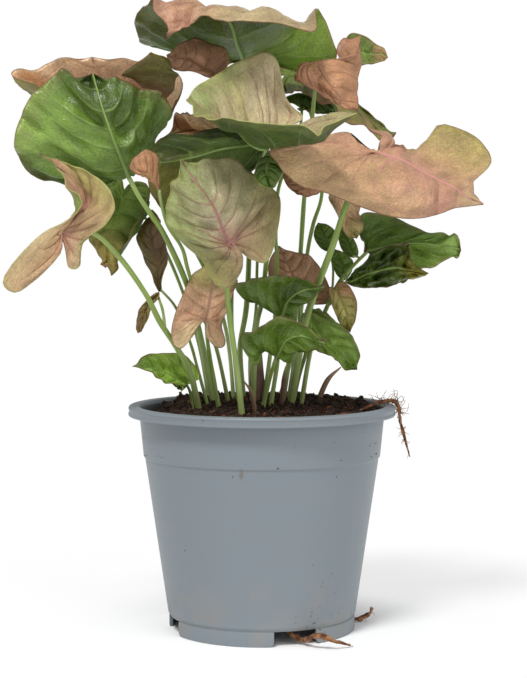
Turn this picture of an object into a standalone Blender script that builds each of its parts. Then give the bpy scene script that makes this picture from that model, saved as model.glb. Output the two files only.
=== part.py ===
"""Arrowhead plant growing in a round nursery pot, in metres, Z up, the plant's front towards -Y.

Every leaf is a thin curved sheet with a stalk that rises from the potting soil. A leaf is described by
named places: where its stalk joins, points along its midrib, and points round its margin. Each place
is given by its position in the front view (across, down) and by how many millimetres nearer than the
pot's axis it lies.
"""

import math

import bmesh
import bpy
import numpy as np
from mathutils import Matrix

MM = 0.001

# The pot's axis, measured from the origin under the middle of the whole plant, in millimetres.
AXIS_X = 5.1
AXIS_Y = 20.9

# The front view: eye position relative to the foot of the pot's axis, and the size of the view.
EYE = np.array([1.0, -1100.0, 247.0])
EYE_TILT = math.radians(3.23)
EYE_REACH = 1730.0
VIEW_MIDDLE = (263.5, 339.0)

# Above this height in the view the plant spreads further to the front and the back.
CROWN_FROM = 400.0
CROWN_FADE = 220.0
CROWN_SPREAD = 0.45

# Pot, in millimetres.
RIM_RADIUS = 85.0
RIM_TOP = 143.0
RIM_DEPTH = 6.2
RIM_LIP = 1.8
NECK_RADIUS = 78.2
STEP_HEIGHT = 111.0
STEP_RADIUS = 75.4
STEP_IN = 0.9
BASE_RADIUS = 60.2
BASE_HEIGHT = 9.8
BASE_ROUND = 2.4
FOOT_RADIUS = 59.4
FOOT_WALL = 2.2
WALL = 1.6
FLOOR = 2.0
POT_SEGMENTS = 72

# Cut-outs in the foot: direction of each from the front, turning towards the right, in degrees.
FOOT_GAPS = (20.7, 104.0, 201.0, 285.0)
FOOT_GAP_WIDTH = 27.0
FOOT_GAP_FLARE = 4.0
DRAIN_RADIUS = 4.5
DRAIN_FROM_AXIS = 48.0
DRAIN_SIDES = 16

# Potting soil and what stands in it, in millimetres. A heap is (height, x, y, spread).
SOIL_LEVEL = 136.6
SOIL_HEAPS = ((3.2, -8, 16, 26), (3.5, -52, 22, 9))
SOIL_SINK = 8.0
SOIL_SINK_X = -66.0
SOIL_SINK_FADE = 3.0
SOIL_SEGMENTS = 40
SOIL_RINGS = 9
SOIL_GAP = 0.35
SEAT_GAP = 0.3

# Bark chip on the soil: its two ends, then (share of the way, half width, height) along it.
BARK_ENDS = ((44.0, -36.0), (68.0, -18.0))
BARK_GIRTHS = ((0, 2.4, 2.6), (0.25, 3.6, 4.2), (0.6, 3.2, 3.8), (0.85, 2.6, 3.2), (1, 1.6, 1.8))
BARK_SECTION = ((-1, 0), (1, 0), (1.05, 0.6), (0.5, 1), (-0.4, 0.95), (-1.05, 0.5))

# The root that climbs over the rim, as (x, y, height), and the two that leave gaps in the foot, as
# (across, down, nearer) in the front view.
ROOT_OVER_RIM = ((66, -1, 139.6), (74, -1, 142.6), (80, -1, 145.6), (85.6, -1, 145.0), (87.6, -1, 141.0),
                 (87.9, 0, 135.0), (89.5, 0, 127.0), (92.0, 0, 118.0), (94.6, 0, 109.5))
ROOT_FRONT = ((303, 640, 52), (313, 636.5, 61.5), (323, 635.5, 64), (335, 641, 64), (350, 645, 58))
ROOT_SIDE = ((356, 619, -13), (365, 617, -13), (370, 613, -13), (372, 607, -13))

# Leaves, in millimetres.
BLADE = 0.9
LEAF_RAYS = 13
LEAF_STEPS = 3
RAY_SLANT = 0.6
SHEET_WELD = 0.3
STALK_SIDES = 7
STALK_STEPS = 3
STALK_TAPER = 0.28
BRANCH_FOOT = 0.8
STALK_END_GAP = 0.4
STALK_END_SINK = 0.1

# Half outlines of a leaf laid flat, from the tip to the notch behind the stalk. The midrib is 1 long.
OUTLINES = {
    "arrow": ((1.0, 0.0), (0.93, 0.045), (0.8, 0.13), (0.6, 0.28), (0.4, 0.40), (0.2, 0.475), (0.05, 0.50),
              (-0.12, 0.485), (-0.28, 0.41), (-0.37, 0.31), (-0.385, 0.2), (-0.30, 0.105), (-0.18, 0.045),
              (-0.09, 0.0)),
    "narrow": ((1.0, 0.0), (0.92, 0.06), (0.8, 0.13), (0.6, 0.21), (0.4, 0.24), (0.2, 0.22), (0.05, 0.14),
               (-0.02, 0.07), (-0.05, 0.0)),
}

# Where on the flat leaf the margin places of a leaf lie, from the tip to the notch.
STATIONS = {
    "arrow": ((0.75, 0.17), (0.45, 0.375), (0.10, 0.495), (-0.22, 0.445), (-0.385, 0.22), (-0.18, 0.045)),
    "narrow": ((0.8, 0.13), (0.5, 0.23), (0.25, 0.23), (0.02, 0.11)),
}

COLOURS = {
    "pot": (0.19, 0.22, 0.25), "soil": (0.03, 0.016, 0.011), "bark": (0.13, 0.05, 0.03),
    "root": (0.38, 0.24, 0.13), "dry": (0.3, 0.17, 0.1), "purple": (0.12, 0.055, 0.05),
    "stalk": (0.2, 0.34, 0.1), "deep green": (0.05, 0.11, 0.03), "green": (0.13, 0.26, 0.06),
    "silver green": (0.33, 0.36, 0.2), "pink": (0.5, 0.3, 0.22), "tan": (0.4, 0.2, 0.12),
    "brown": (0.22, 0.12, 0.06),
}

# Leaves from the top of the plant down. spine runs from the stalk to the tip, a and b are the margins
# at STATIONS, more holds further (flat u, flat v, across, down, nearer) places, stalk its path upwards.
LEAVES = {
    "crown": dict(
        colour="green",
        spine=((243, 58, -8), (236, 40, 6), (216, 10, 26), (188, 16, 42), (167, 40, 50)),
        a=((161, 20, 46), (150, 1.5, 36), (135, 18, 22), (139, 38, 8), (160, 49, -6), (234, 63, -11)),
        b=((190, 22.5, 50), (245, 23.5, 50), (316, 10, 30), (336, 54, 14), (302, 72, 2), (254, 60, -8)),
        more=((0.42, -0.2, 262, 11.5, 34), (0.28, -0.33, 295, 21, 38), (0.3, -0.44, 303, 28.5, 45),
              (0.2, -0.475, 317, 26, 39), (0.6, 0.12, 178, 5.5, 38), (0.0, -0.25, 290, 46, 6)),
        stalk=dict(foot=(-12, -44), width=3.6,
                   path=((240, 350, -38), (247, 300, -30), (250, 200, -20), (247, 110, -14)))),
    "tuck": dict(
        colour="pink", fused=True, shape="narrow",
        spine=((217, 78, 14), (200, 66, 14), (184, 58, 14), (167, 56, 12)),
        a=((178, 45, 10), (198, 37.5, 8), (222, 47, 6), (228, 66, 9)),
        b=((172, 68, 14), (187, 71, 15), (202, 76, 16), (213, 80, 15)),
        stalk=dict(foot=(-15, -22), width=2.2,
                   path=((233, 340, -22), (232, 300, -22), (234, 200, -22), (230, 120, -16),
                         (222, 94, 2)))),
    "fold": dict(
        colour="tan",
        spine=((319, 61, 22), (327, 79, 26), (339, 97, 26), (350, 108, 24), (357, 111, 22)),
        a=((344, 108.5, 25), (330, 99, 27), (311, 88.5, 29), (296, 79.5, 28), (303, 72, 25), (312, 65, 23)),
        b=((360, 106, 18), (359, 85, 14), (362, 60, 6), (361, 33, 2), (341, 43.5, 2), (335, 61, 21)),
        more=((-0.27, -0.1, 349, 66, 13), (-0.36, -0.16, 336, 53, 4), (-0.08, -0.49, 362.5, 47, 4),
              (-0.31, -0.38, 351, 38, 2)),
        stalk=dict(foot=(13, -34), width=3.0,
                   path=((295, 320, -26), (300, 260, -18), (303, 215, -9), (305, 190, -6), (312, 120, 4),
                         (316, 80, 14)))),
    "fold_back": dict(
        colour="green", fused=True, shape="narrow",
        spine=((344, 56, -14), (358, 53, -15), (372, 54, -17), (387, 58, -18)),
        a=((380, 46, -17), (366, 37, -16), (352, 33, -15), (344, 45, -14)),
        b=((382, 61, -17), (369, 64, -14), (356, 66, -13), (346, 63, -13)),
        more=((0.92, 0.06, 385.5, 50, -17.5), (0.92, -0.06, 385.5, 60.5, -17.5)),
        stalk=dict(joint=("upper_right", 0.62), width=2.0,
                   path=((327, 160, -30), (330, 110, -36), (340, 80, -34), (344, 66, -24)))),
    "upper_right": dict(
        colour="green",
        spine=((300, 76, -22), (330, 88, -18), (362, 112, -14), (393, 138, -10)),
        a=((385, 127, -12), (361, 106, -16), (325, 72, -24), (295, 58, -28), (276, 62, -28),
           (282, 76, -23)),
        b=((375, 137, -4), (346, 118.5, 2), (322, 101, 4), (300, 92, 2), (284, 93, -2), (282.5, 79, -18)),
        stalk=dict(foot=(17, -46), width=2.6,
                   path=((300, 320, -36), (307, 256, -24), (313, 225, -20), (322, 192, -18),
                         (318, 140, -20), (306, 100, -24)))),
    "dark_right": dict(
        colour="deep green", fused=True,
        spine=((302, 108, -4), (318, 104, -6), (340, 112, -8)),
        a=((334, 104, -8), (322, 97, -9), (306, 94, -8), (292, 94, -6), (285, 99, -4), (294, 105, -3)),
        b=((333, 113, -6), (322, 112, -4), (312, 112.5, -2), (304, 114, 0), (297, 112, -1), (299, 110, -2)),
        stalk=dict(joint=("dark_mid", 0.55), width=2.2,
                   path=((277, 198, 6), (284, 172, 4), (297, 145, 0), (301, 122, 0)))),
    "dome": dict(
        colour="silver green",
        spine=((268, 147, 52), (240, 132, 48), (212, 114, 52), (187, 99, 56)),
        a=((193, 89.5, 48), (222, 70, 36), (250, 57, 28), (274, 57, 26), (289, 103, 30), (298, 123, 40)),
        b=((197, 113, 66), (222, 121, 76), (272, 122, 84), (323, 126.5, 84), (356, 117, 70),
           (314, 119, 52)),
        more=((-0.02, -0.495, 303, 127, 86), (-0.13, -0.48, 318, 137, 88), (-0.32, -0.37, 345, 118.5, 78),
              (-0.36, -0.13, 337, 112, 62), (0.3, -0.18, 228, 130, 60), (-0.02, -0.2, 290, 145, 64),
              (-0.2, -0.28, 325, 137, 72), (0.1, 0.25, 255, 95, 34)),
        stalk=dict(foot=(-6, -12), width=3.2,
                   path=((256, 330, 0), (262, 300, 8), (268, 240, 22), (268, 190, 28), (266, 168, 34),
                         (264, 157, 38)))),
    "pink": dict(
        colour="pink",
        spine=((376, 151, 20), (404, 161, 24), (432, 177, 26), (458, 190, 24), (482, 205, 18)),
        a=((446, 212, 34), (400, 218.5, 44), (335, 197, 54), (288, 176, 57), (270, 149.5, 56),
           (366, 145, 23)),
        b=((474, 181, 12), (441, 125, -4), (412, 150, 4), (392, 144, 6), (368, 130, 13), (379, 146, 17)),
        more=((0.66, -0.24, 490, 164, 2), (0.56, -0.31, 481, 139, -4), (0.3, -0.44, 430, 152, 0),
              (0.45, -0.2, 440, 158, 8), (-0.3, 0.12, 305, 143, 46), (0.05, 0.25, 350, 182, 46),
              (0.4, 0.2, 420, 198, 40), (-0.22, 0.065, 352, 131, 24), (-0.37, 0.31, 276, 162, 57),
              (-0.28, 0.41, 281, 170, 57), (-0.3, -0.105, 380, 137, 13)),
        stalk=dict(foot=(18, -20), width=4.2,
                   path=((305, 325, 2), (318, 285, 14), (333, 245, 22), (347, 203, 26), (364, 168, 22)))),
    "hook": dict(
        colour="pink",
        spine=((60, 230, 54), (82, 214, 52), (86, 196, 46), (66, 170, 48), (37, 153, 56)),
        a=((53, 161, 50), (66, 184, 52), (80, 207, 56), (40, 235, 58), (12, 291.5, 66), (59, 256, 59)),
        b=((62, 161, 46), (96, 176, 50), (115, 203, 58), (95, 231, 60), (80, 266, 60), (66, 254, 57)),
        more=((-0.37, 0.31, 2.5, 281, 66), (-0.3, 0.105, 32, 283, 63), (-0.06, 0.49, 61, 224, 56.5),
              (-0.1, -0.49, 106, 225, 60), (-0.33, -0.38, 78, 243, 58)),
        stalk=dict(foot=(-39.5, 2), width=3.6,
                   path=((190, 372, 16), (175, 345, 25), (160, 322, 32), (145, 293, 40), (120, 258, 46),
                         (93, 233, 47)))),
    "heart": dict(
        colour="silver green",
        spine=((229, 242, 58), (219, 219, 58), (207, 197, 54), (181, 161, 42)),
        a=((172, 181, 44), (166.5, 206, 46), (172, 232, 52), (199, 259, 58), (228, 288, 62),
           (240, 256, 61)),
        b=((203, 157, 40), (238, 159.5, 38), (268, 186, 37), (281, 210, 42), (265, 262, 53),
           (240, 251, 56)),
        more=((-0.3, 0.11, 243, 268, 62), (-0.32, -0.39, 277, 240, 48)),
        stalk=dict(foot=(-12, 33), width=3.4,
                   path=((237, 370, 38), (230, 320, 42), (227, 290, 46), (228, 262, 50)))),
    "dark_mid": dict(
        colour="deep green",
        spine=((262, 144, 20), (220, 150, 20), (180, 160, 16), (140, 160, 14)),
        a=((150, 147, 14), (172, 134, 14), (205, 134, 14), (240, 137, 12), (262, 137, 14), (267, 142, 18)),
        b=((150, 190, 12), (168, 215, 12), (205, 205, 16), (245, 176, 20), (263, 160, 22), (267, 149, 21)),
        stalk=dict(foot=(1, -20), width=2.6,
                   path=((272, 340, -12), (275, 318, -8), (277, 262, 2), (274, 230, 4), (267, 178, 10),
                         (263, 157, 15)))),
    "small_tip": dict(
        colour="tan", shape="narrow",
        spine=((159, 190, 46), (151, 179, 48), (141, 173, 49), (129, 168, 50)),
        a=((133, 158, 50), (146, 149.5, 48), (158, 156, 46), (160.5, 178, 45)),
        b=((136, 173.5, 50), (144, 176.5, 50), (151, 182.5, 49), (157, 190, 47)),
        stalk=dict(foot=(-21, -22), width=2.4,
                   path=((216, 347, -4), (200, 310, 8), (188, 270, 22), (182, 248, 30), (168, 226, 38),
                         (161, 202, 43)))),
    "red": dict(
        colour="tan", fused=True,
        spine=((256, 141, -2), (225, 138, -8), (195, 130, -14), (168, 134, -10)),
        a=((176, 118, -4), (190, 112, 0), (208, 119, 0), (226, 131, 0), (245, 138, 0), (252, 140, -1)),
        b=((172, 145, -2), (190, 150, 2), (210, 148, 4), (228, 144, 2), (245, 143, 0), (252, 142, -1)),
        stalk=dict(foot=(-7, -34), width=2.2,
                   path=((250, 360, -32), (256, 310, -28), (257, 270, -22), (259, 200, -12)))),
    "green": dict(
        colour="green",
        spine=((128, 176, 30), (119, 153, 38), (109, 127, 44), (100, 100, 46), (93, 72, 38)),
        a=((65, 70.5, 39), (31, 95, 44), (17, 128, 42), (20, 160, 38), (62, 184, 32), (118, 184, 29)),
        b=((118, 78.5, 38), (143, 89, 37), (164, 94, 32), (160, 120, 26), (148, 155, 24), (134, 172, 27)),
        more=((0.9, 0.065, 80, 70.5, 38.5), (0.9, -0.065, 105, 75, 38)),
        stalk=dict(foot=(-30.5, -22), width=3.6,
                   path=((200, 335, -4), (187, 285, 16), (165, 236, 29), (152, 216, 32), (140, 198, 32)))),
    "pink_back": dict(
        colour="pink",
        spine=((128, 140, 8), (115, 112, 12), (102, 82, 20), (92, 57, 28)),
        a=((60, 57.5, 29), (28, 70, 32), (36, 84, 36), (30, 100, 36), (70, 120, 24), (115, 140, 9)),
        b=((124, 59, 29), (150, 53.5, 30), (122, 76, 36), (148, 95, 22), (160, 134, 12), (135, 142, 9)),
        more=((0.2, 0.42, 15, 84, 30), (0.33, 0.4, 18, 75, 31), (0.28, -0.36, 165, 60, 30),
              (0.05, -0.4, 172, 74, 25), (-0.08, -0.36, 169, 93, 20), (-0.2, -0.3, 167, 115, 14)),
        stalk=dict(foot=(-18, -32), width=2.4,
                   path=((226, 330, -30), (205, 270, -20), (168, 205, -4), (146, 170, 4)))),
    "left_low": dict(
        colour="deep green", fused=True,
        spine=((122, 198, 10), (114, 225, 14), (108, 248, 16), (106, 268, 18)),
        a=((98, 256, 16), (90, 239, 14), (100, 215, 12), (106, 192, 8), (114, 175, 6), (124, 184, 8)),
        b=((111, 277, 20), (118, 256, 21), (136, 226, 21), (146, 210, 18), (146, 184, 10), (130, 184, 9)),
        more=((0.7, -0.12, 117, 270, 16), (0.4, -0.27, 133, 240, 14), (0.1, -0.36, 150, 216, 13)),
        stalk=dict(foot=(-34, -32), width=2.2,
                   path=((199, 345, -26), (182, 290, -6), (160, 240, 4), (140, 212, 6)))),
    "young_roll": dict(
        colour="purple", fused=True, shape="narrow",
        spine=((160, 289, 20), (157, 262, 20), (152, 235, 18), (152, 210, 16)),
        a=((146, 222, 14), (139, 240, 14), (145, 262, 16), (156, 281, 19)),
        b=((160, 222, 22), (165, 240, 25), (164, 263, 25), (163, 281, 22)),
        stalk=dict(foot=(-34, -12), width=2.0, path=((198, 370, -4), (190, 342, 4), (176, 308, 14)))),
    "curl": dict(
        colour="brown", fused=True, shape="narrow",
        spine=((157, 293, 24), (148, 305, 26), (142, 318, 28), (138, 333, 30)),
        a=((136, 327, 30), (138, 314, 29), (145, 301, 27), (154, 293, 25)),
        b=((141, 331, 30), (148, 320, 29), (152, 306, 26), (159, 297, 24)),
        stalk=dict(joint=("hook", 0.42), width=1.8, path=((163, 312, 27), (159, 299, 24.5)))),
    "low_pink": dict(
        colour="pink",
        spine=((206, 319, 26), (210, 300, 24), (213, 280, 20), (216, 258, 14)),
        a=((196, 270, 20), (185, 289, 24), (175, 313, 30), (172, 336, 34), (182, 348, 36), (200, 324, 28)),
        b=((234, 278, 16), (234, 290, 18), (228, 310, 24), (222, 328, 28), (218, 346.5, 32),
           (206, 326, 27)),
        more=((-0.3, 0.11, 192, 337, 33), (-0.3, -0.11, 207, 336, 30), (-0.34, -0.36, 225.5, 342, 31)),
        stalk=dict(foot=(-27, -2), width=2.8, path=((212, 370, 8), (208, 345, 16)))),
    "low_left": dict(
        colour="green",
        spine=((186, 384, 4), (168, 374, 10), (150, 368, 16), (132, 367, 20)),
        a=((143, 358, 18), (160, 353, 14), (177, 352.5, 8), (192, 361, 2), (199, 378, 0), (190, 383, 2)),
        b=((146, 373, 20), (159, 380, 18), (172, 386, 14), (180, 387, 9), (185, 387, 6), (186, 385.5, 4.5)),
        stalk=dict(foot=(-44, -8), width=2.0, path=((190, 392, -3),))),
    "low_top": dict(
        colour="deep green",
        spine=((280, 317.5, 14), (286, 303, 20), (303, 290, 24), (326, 287, 22)),
        a=((312, 281, 27), (292, 277, 28), (268, 276.5, 28), (246, 280, 26), (236, 291, 24),
           (262, 307, 16)),
        b=((317, 296, 18), (304, 304, 16), (294, 310, 13), (287, 314, 7), (280, 316, 3), (279, 317, 10)),
        more=((-0.34, 0.36, 238, 284, 26), (-0.34, 0.14, 244, 300, 20)),
        stalk=dict(foot=(5, -8), width=2.8, path=((277, 365, 0), (279, 335, 9)))),
    "low_mid": dict(
        colour="deep green",
        spine=((276, 357, 30), (285, 341, 38), (304, 336, 42), (326, 344, 40)),
        a=((315, 332, 44), (297, 322, 46), (274, 319, 46), (254, 330, 44), (242, 348, 40), (264, 352, 32)),
        b=((317, 350, 36), (305, 352, 33), (296, 354, 29), (289, 357, 22), (281, 359, 18),
           (277.5, 358.5, 26)),
        more=((-0.36, 0.14, 254, 366, 40),),
        stalk=dict(foot=(-0.5, 8), width=2.6, path=((270, 378, 20),))),
    "low_right": dict(
        colour="green",
        spine=((306, 312, -10), (320, 334, 0), (337, 351, 8), (357, 370, 14)),
        a=((360.5, 356, 10), (353, 337, 6), (338, 323, 0), (322, 313, -8), (309, 309, -13),
           (306, 311, -12)),
        b=((345, 369, 14), (331, 357, 12), (317, 351, 4), (306, 340, -7), (302, 327, -10), (304, 316, -10)),
        stalk=dict(foot=(20, -34), width=2.6, path=((298, 380, -28), (306, 352, -20), (308, 330, -15)))),
    "brown_mid": dict(
        colour="brown", fused=True,
        spine=((300, 298, -12), (292, 275, -8), (284, 258, -6), (279, 246, -6)),
        a=((291, 251, -8), (309, 256, -12), (325, 277, -14), (331, 299, -14), (318, 305, -13),
           (304, 302, -12)),
        b=((274, 252, -6), (269, 262, -5), (268, 275, -5), (271, 290, -7), (283, 303, -10),
           (297, 303, -12)),
        stalk=dict(foot=(9, -46), width=2.0, path=((296, 345, -30),))),
    "brown_right": dict(
        colour="brown", fused=True,
        spine=((336, 290, 0), (343, 305, 0), (348, 320, 0), (350, 332, 0)),
        a=((355, 322, 0), (357, 303, 0), (352, 290, 0), (346, 284, -1), (341, 282, -2), (337, 286, -1)),
        b=((343, 328, 0), (336, 315, 0), (331, 302, 0), (328, 290, 0), (331, 287, -1), (334, 288, -1)),
        stalk=dict(joint=("right", 0.45), width=1.8, path=((331, 303, -6),))),
    "right": dict(
        colour="deep green",
        spine=((368, 251, 4), (395, 245, 8), (425, 244, 10), (461, 250, 8)),
        a=((452, 235, 6), (428, 232, 4), (398, 219, 2), (366, 213, 0), (360, 230, 0), (364, 244, 2)),
        b=((450, 259, 12), (432, 268.5, 14), (410, 269, 14), (390, 262, 9), (379, 259, 3),
           (371.3, 253.3, 4.8)),
        more=((0.93, 0.045, 459, 240, 7), (0.93, -0.045, 458, 258, 9)),
        stalk=dict(foot=(25, -26), width=2.8,
                   path=((312, 345, -20), (328, 305, -12), (340, 281, -8), (355, 264, -3)))),
    "quilted": dict(
        colour="deep green", fused=True, shape="narrow",
        spine=((351, 282, 12), (376, 272, 18), (402, 269, 22), (428, 273, 22)),
        a=((412, 263, 22), (407, 243, 20), (380, 250, 18), (355, 273, 12)),
        b=((416, 279, 22), (396, 285, 20), (373, 288, 18), (355, 286, 13)),
        stalk=dict(joint=("right", 0.68), width=2.0, path=((347, 279, 4),))),
    "small_a": dict(
        colour="deep green", fused=True, shape="narrow",
        spine=((329, 250, -20), (324, 238, -20), (318, 223, -20)),
        a=((315, 228, -20), (314, 237, -20), (318, 245, -20), (326, 251, -20)),
        b=((326, 224, -20), (335, 231, -20), (336, 243, -20), (332, 251, -20)),
        stalk=dict(joint=("right", 0.5), width=1.6, path=((333, 268, -19),))),
    "small_b": dict(
        colour="deep green", fused=True, shape="narrow",
        spine=((353, 256, -22), (348, 242, -22), (341, 227, -22)),
        a=((338, 233, -22), (339, 242, -22), (342, 250, -22), (350, 257, -22)),
        b=((347, 231, -22), (354, 239, -22), (358, 249, -22), (357, 257, -22)),
        stalk=dict(joint=("right", 0.85), width=1.6, path=((359, 258, -14),))),
    "small_c": dict(
        colour="deep green", fused=True, shape="narrow",
        spine=((343, 279, -14), (341, 264, -13), (334, 249, -12)),
        a=((331, 255, -12), (332, 264, -12), (335, 272, -13), (341, 279, -14)),
        b=((343, 252, -12), (353, 262, -12), (351, 273, -13), (345, 280, -14)),
        stalk=dict(joint=("right", 0.46), width=1.6, path=((340, 289, -15),))),
    "tan_lobe": dict(
        colour="tan", fused=True,
        spine=((338, 188, 10), (343, 205, 14), (350, 222, 18), (356, 239, 20)),
        a=((349, 236, 20), (340, 221, 18), (332, 205, 14), (328, 194, 10), (331, 186, 8), (335, 186, 9)),
        b=((362, 231, 18), (361, 218, 14), (357, 207, 10), (352, 196, 8), (347, 188, 8), (341, 186, 9)),
        stalk=dict(joint=("upper_right", 0.7), width=1.6, path=((331, 176, -2),))),
    "under_pink": dict(
        colour="tan", fused=True,
        spine=((318, 168, 18), (308, 182, 22), (297, 194, 24)),
        a=((288, 187, 23), (283, 177, 21), (288, 166, 19), (300, 160, 17), (310, 160, 16), (316, 165, 17)),
        b=((308, 196, 25), (320, 192, 25), (332, 184, 22), (332, 172, 18), (326, 165, 16), (320, 166, 17)),
        stalk=dict(joint=("fold", 0.66), width=1.6, path=((312, 172, 8),))),
    "wavy": dict(
        colour="deep green", fused=True, shape="narrow",
        spine=((273, 153, 49), (267, 164, 50), (268, 176, 50), (272, 189, 50)),
        a=((262, 185, 49), (254, 177, 48), (258, 165, 48), (269, 155, 48)),
        b=((276, 186, 50), (282, 176, 51), (285, 166, 50), (279, 156, 49)),
        stalk=dict(joint=("dome", 0.7), width=1.6, path=((275, 172, 40), (276, 162, 46)))),
}

# Further pieces that rise from the soil: (across from the axis, nearer) of the foot, then the path.
SHOOTS = {
    "stem_base": dict(colour="purple", foot=(-3, -26), radii=(4.4, 3.6, 2.0),
                      path=((257, 380, -22), (258, 352, -18))),
    "sheath_low": dict(colour="purple", foot=(12.5, -12), radii=(1.8, 1.6, 0.5),
                       path=((284, 380, -9), (286, 366, -8))),
    "sheath_tan": dict(colour="dry", foot=(-4, 18), radii=(1.7, 1.2, 0.4),
                       path=((252, 394, 20), (244, 381, 21))),
    "dry_sliver": dict(colour="dry", foot=(35, -38), radii=(1.9, 1.7, 0.4),
                       path=((327, 381, -40), (341, 367, -42))),
}


def sight(place):
    """Millimetres from the foot of the pot's axis of a place seen at (across, down, nearer)."""
    across, down, nearer = place
    nearer = nearer * (1 + CROWN_SPREAD * min(max((CROWN_FROM - down) / CROWN_FADE, 0), 1))
    cos, sin = math.cos(EYE_TILT), math.sin(EYE_TILT)
    ahead, up = np.array([0.0, cos, -sin]), np.array([0.0, sin, cos])
    ray = ahead + np.array([1.0, 0.0, 0.0]) * (across - VIEW_MIDDLE[0]) / EYE_REACH
    ray = ray + up * (VIEW_MIDDLE[1] - down) / EYE_REACH
    return EYE + ray * (-nearer - EYE[1]) / ray[1]


def smooth_path(points, steps):
    """Points of a smooth curve through the given ones, this many steps for each span."""
    points = np.asarray(points, float)
    ends = np.vstack([2 * points[0] - points[1], points, 2 * points[-1] - points[-2]])
    made = []
    for i in range(1, len(ends) - 2):
        before, start, end, after = ends[i - 1:i + 3]
        slope = end - before
        bend = 2 * before - 5 * start + 4 * end - after
        twist = 3 * start - before - 3 * end + after
        for t in np.arange(steps) / steps:
            made.append(start + 0.5 * (slope * t + bend * t ** 2 + twist * t ** 3))
    return np.array(made + [points[-1]])


def thin_plate(sites, targets):
    """The smoothest map of the flat leaf that takes every site to its target."""
    sites, targets = np.asarray(sites, float), np.asarray(targets, float)

    def kernel(at):
        gap = np.linalg.norm(at[:, None] - sites[None], axis=2)
        return gap ** 2 * np.log(gap + 1e-12)

    flat = np.hstack([np.ones((len(sites), 1)), sites])
    system = np.block([[kernel(sites), flat], [flat.T, np.zeros((3, 3))]])
    weights = np.linalg.solve(system, np.vstack([targets, np.zeros((3, 3))]))

    def mapped(at):
        at = np.asarray(at, float)
        return np.hstack([kernel(at), np.ones((len(at), 1)), at]) @ weights

    return mapped


def leaf_surface(leaf):
    """The map from the flat leaf to millimetres in space."""
    sites, targets = [], []
    spine = leaf["spine"]
    for i, place in enumerate(spine):
        sites.append((i / (len(spine) - 1), 0.0))
        targets.append(sight(place))
    for side, margin in ((1, leaf["a"]), (-1, leaf["b"])):
        for (u, v), place in zip(STATIONS[leaf.get("shape", "arrow")], margin):
            sites.append((u, side * v))
            targets.append(sight(place))
    for u, v, *place in leaf.get("more", ()):
        sites.append((u, v))
        targets.append(sight(place))
    return thin_plate(sites, targets)


def half_leaf(shape, rays, steps, side):
    """Flat places of one half: rows run along the margin, columns from the midrib out."""
    outline = smooth_path(OUTLINES[shape], 8)
    along = np.concatenate([[0], np.cumsum(np.linalg.norm(np.diff(outline, axis=0), axis=1))])
    evenly = np.linspace(0, along[-1], rays)
    rim = np.stack([np.interp(evenly, along, outline[:, k]) for k in (0, 1)], axis=-1)
    root = np.clip(rim[:, 0] - RAY_SLANT * rim[:, 1], 0, 1)
    t = np.linspace(0, 1, steps + 1)[None, :]
    u = root[:, None] * (1 - t) + rim[:, :1] * t
    return np.stack([u, side * rim[:, 1:] * t], axis=-1)


def add_piece(name, verts, faces, colour, smooth=True, weld=0.002):
    """A mesh object from points in millimetres from the foot of the pot's axis."""
    mesh = bpy.data.meshes.new(name)
    placed = (np.asarray(verts) + [AXIS_X, AXIS_Y, 0.0]) * MM
    mesh.from_pydata([tuple(v) for v in placed], [], [tuple(int(i) for i in f) for f in faces])
    bm = bmesh.new()
    bm.from_mesh(mesh)
    bmesh.ops.remove_doubles(bm, verts=bm.verts, dist=weld * MM)
    bmesh.ops.recalc_face_normals(bm, faces=bm.faces)
    if bm.calc_volume(signed=True) < 0:
        bmesh.ops.reverse_faces(bm, faces=bm.faces)
    bm.to_mesh(mesh)
    bm.free()
    mesh.polygons.foreach_set("use_smooth", [smooth] * len(mesh.polygons))
    piece = bpy.data.objects.new(name, mesh)
    bpy.context.scene.collection.objects.link(piece)
    piece.data.materials.append(plain_material(name, colour))
    return piece


def plain_material(name, colour):
    material = bpy.data.materials.new(name)
    material.use_nodes = True
    shader = material.node_tree.nodes["Principled BSDF"]
    shader.inputs["Base Color"].default_value = (*COLOURS[colour], 1)
    shader.inputs["Roughness"].default_value = 0.5
    return material


def grid_faces(first, rows, columns):
    return [(first + i * columns + j, first + (i + 1) * columns + j, first + (i + 1) * columns + j + 1,
             first + i * columns + j + 1) for i in range(rows - 1) for j in range(columns - 1)]


def blade(name, leaf):
    """The sheet of one leaf, BLADE thick."""
    surface = leaf_surface(leaf)
    verts, faces = [], []
    for side in (1, -1):
        flat = half_leaf(leaf.get("shape", "arrow"), LEAF_RAYS, LEAF_STEPS, side)
        faces += grid_faces(len(verts), LEAF_RAYS, LEAF_STEPS + 1)
        verts += list(surface(flat.reshape(-1, 2)))
    piece = add_piece(name, verts, faces, leaf["colour"], weld=SHEET_WELD)
    thick = piece.modifiers.new("thickness", "SOLIDIFY")
    thick.thickness = BLADE * MM
    thick.offset = 0
    return piece


def stalk_end(leaf):
    """Where the stalk meets the middle of the sheet, and the sheet's direction there."""
    surface = leaf_surface(leaf)
    here, along, across = surface(np.array([[0.0, 0.0], [0.02, 0.0], [0.01, 0.02]]))
    normal = np.cross(along - here, across - here)
    return here, normal / np.linalg.norm(normal)


def soil_top(x, y):
    """Height of the soil's surface: raised round the stalks, low at the left."""
    heaped = sum(high * math.exp(-((x - at_x) ** 2 + (y - at_y) ** 2) / (2 * spread ** 2))
                 for high, at_x, at_y, spread in SOIL_HEAPS)
    return SOIL_LEVEL + heaped - SOIL_SINK / (1 + math.exp((x - SOIL_SINK_X) / SOIL_SINK_FADE))


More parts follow.
